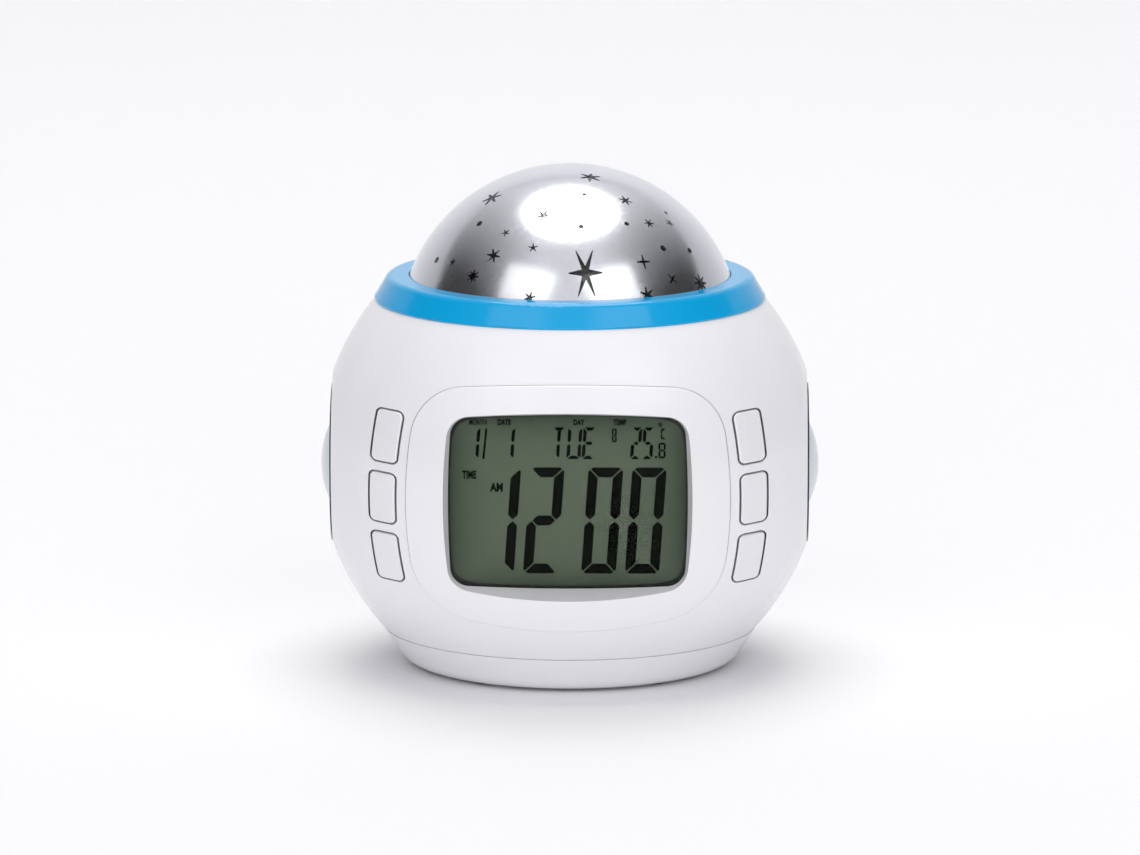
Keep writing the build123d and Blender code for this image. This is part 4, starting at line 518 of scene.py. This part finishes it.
sweep_points = np.stack([grid_x, grid_y, grid_z], axis=-1).reshape(-1, 3)
columns = len(across)
corner = (np.arange(len(profile_y) - 1)[:, None] * columns + np.arange(columns - 1)).ravel()
sweep_faces = np.stack([corner, corner + 1, corner + columns + 1, corner + columns], axis=1)
sweep_mesh = bpy.data.meshes.new("paper_sweep")
sweep_mesh.from_pydata(sweep_points.tolist(), [], sweep_faces.tolist())
sweep_mesh.polygons.foreach_set("use_smooth", np.ones(len(sweep_faces), bool))
sweep = bpy.data.objects.new("paper_sweep", sweep_mesh)
bpy.context.scene.collection.objects.link(sweep)
# Background paper: near white and matt, with a fine tooth
sweep_paper, tree, shader, place = new_finish("pale_paper")
tooth = add_node(tree, "ShaderNodeTexNoise", {},
                 {"Vector": place, "Scale": 1 / (2 * MM), "Detail": 3.0})
paper = add_node(tree, "ShaderNodeMix", {"data_type": "RGBA"},
                 {"Factor": tooth.outputs["Fac"], 6: linear("#F6F6F7"), 7: linear("#F9F9FA")})
add_node(tree, shader, {}, {"Base Color": paper.outputs[2], "Roughness": 0.9})
sweep_mesh.materials.append(sweep_paper)

# The room is bright ahead and behind, and dark at both sides, which the dome's flanks show
ROOM_BRIGHT = 0.7
ROOM_DARK = 0.05
DARK_FROM = 0.3
DARK_TO = 0.88
world = bpy.data.worlds.new("studio_room")
world.use_nodes = True
room = world.node_tree
seen = add_node(room, "ShaderNodeTexCoord", {}, {}).outputs["Generated"]
heading = add_node(room, "ShaderNodeSeparateXYZ", {}, {"Vector": seen})
to_side = add_node(room, "ShaderNodeMath", {"operation": "ABSOLUTE"}, {0: heading.outputs["X"]})
walls = add_node(room, "ShaderNodeMapRange", {},
                 {"Value": to_side.outputs[0], "From Min": DARK_FROM, "From Max": DARK_TO,
                  "To Min": ROOM_BRIGHT, "To Max": ROOM_DARK})
add_node(room, room.nodes["Background"], {},
         {"Color": linear("#FAFAFD"), "Strength": walls.outputs[0]})
bpy.context.scene.world = world
bpy.context.scene.view_settings.view_transform = "Standard"


def soft_light(name, shape, place, target, size, power):
    """A soft light at a place, turned to a target; size in metres, power in watts."""
    lamp = bpy.data.lights.new(name, "AREA")
    lamp.shape = shape
    lamp.size, lamp.size_y = size
    lamp.energy = power
    stand = bpy.data.objects.new(name, lamp)
    stand.location = place
    stand.rotation_euler = (Vector(target) - Vector(place)).to_track_quat("-Z", "Y").to_euler()
    bpy.context.scene.collection.objects.link(stand)


soft_light("overhead_softbox", "ELLIPSE", place=(0, 0.63, 2.6), target=(0, 0.63, 0),
           size=(2.0, 2.45), power=37)
for name, side, power in (("left_softbox", -1, 1.9), ("right_softbox", 1, 2.5)):
    soft_light(name, "RECTANGLE", place=(side * 0.79, -1.085, 1.19), target=(0, 0, 0.06),
               size=(1.03, 0.74), power=power)
soft_light("front_fill", "RECTANGLE", place=(0, -2.6, 0.5), target=(0, 0, 0.05),
           size=(2.4, 1.0), power=16)

# Camera: the photograph's angle, a hair to the right of square, with a long lens at two metres.
# The ball's middle lies a little under the middle of the image, which is 1140 pixels wide.
BALL_Y = -1.54
DROP_PIXELS = 28.5
SENSOR_MM = 36
ball_middle = Vector((0, BALL_Y, BALL_Z)) * MM
ELEVATION = math.radians(10.6)
AZIMUTH = math.radians(0.6)
FOCAL_PIXELS = 8400
IMAGE_WIDTH = 1140
DISTANCE = 2.0
level = Vector((math.sin(AZIMUTH), -math.cos(AZIMUTH), 0))
back = math.cos(ELEVATION) * level + Vector((0, 0, math.sin(ELEVATION)))
upright = Vector((0, 0, math.cos(ELEVATION))) - math.sin(ELEVATION) * level
lens = bpy.data.cameras.new("camera")
lens.sensor_width = SENSOR_MM
lens.lens = SENSOR_MM * FOCAL_PIXELS / IMAGE_WIDTH
camera = bpy.data.objects.new("camera", lens)
camera.location = ball_middle + DISTANCE * back
aim = ball_middle + upright * (DROP_PIXELS / FOCAL_PIXELS * DISTANCE)
camera.rotation_euler = (aim - camera.location).to_track_quat("-Z", "Y").to_euler()
bpy.context.scene.collection.objects.link(camera)
bpy.context.scene.camera = camera
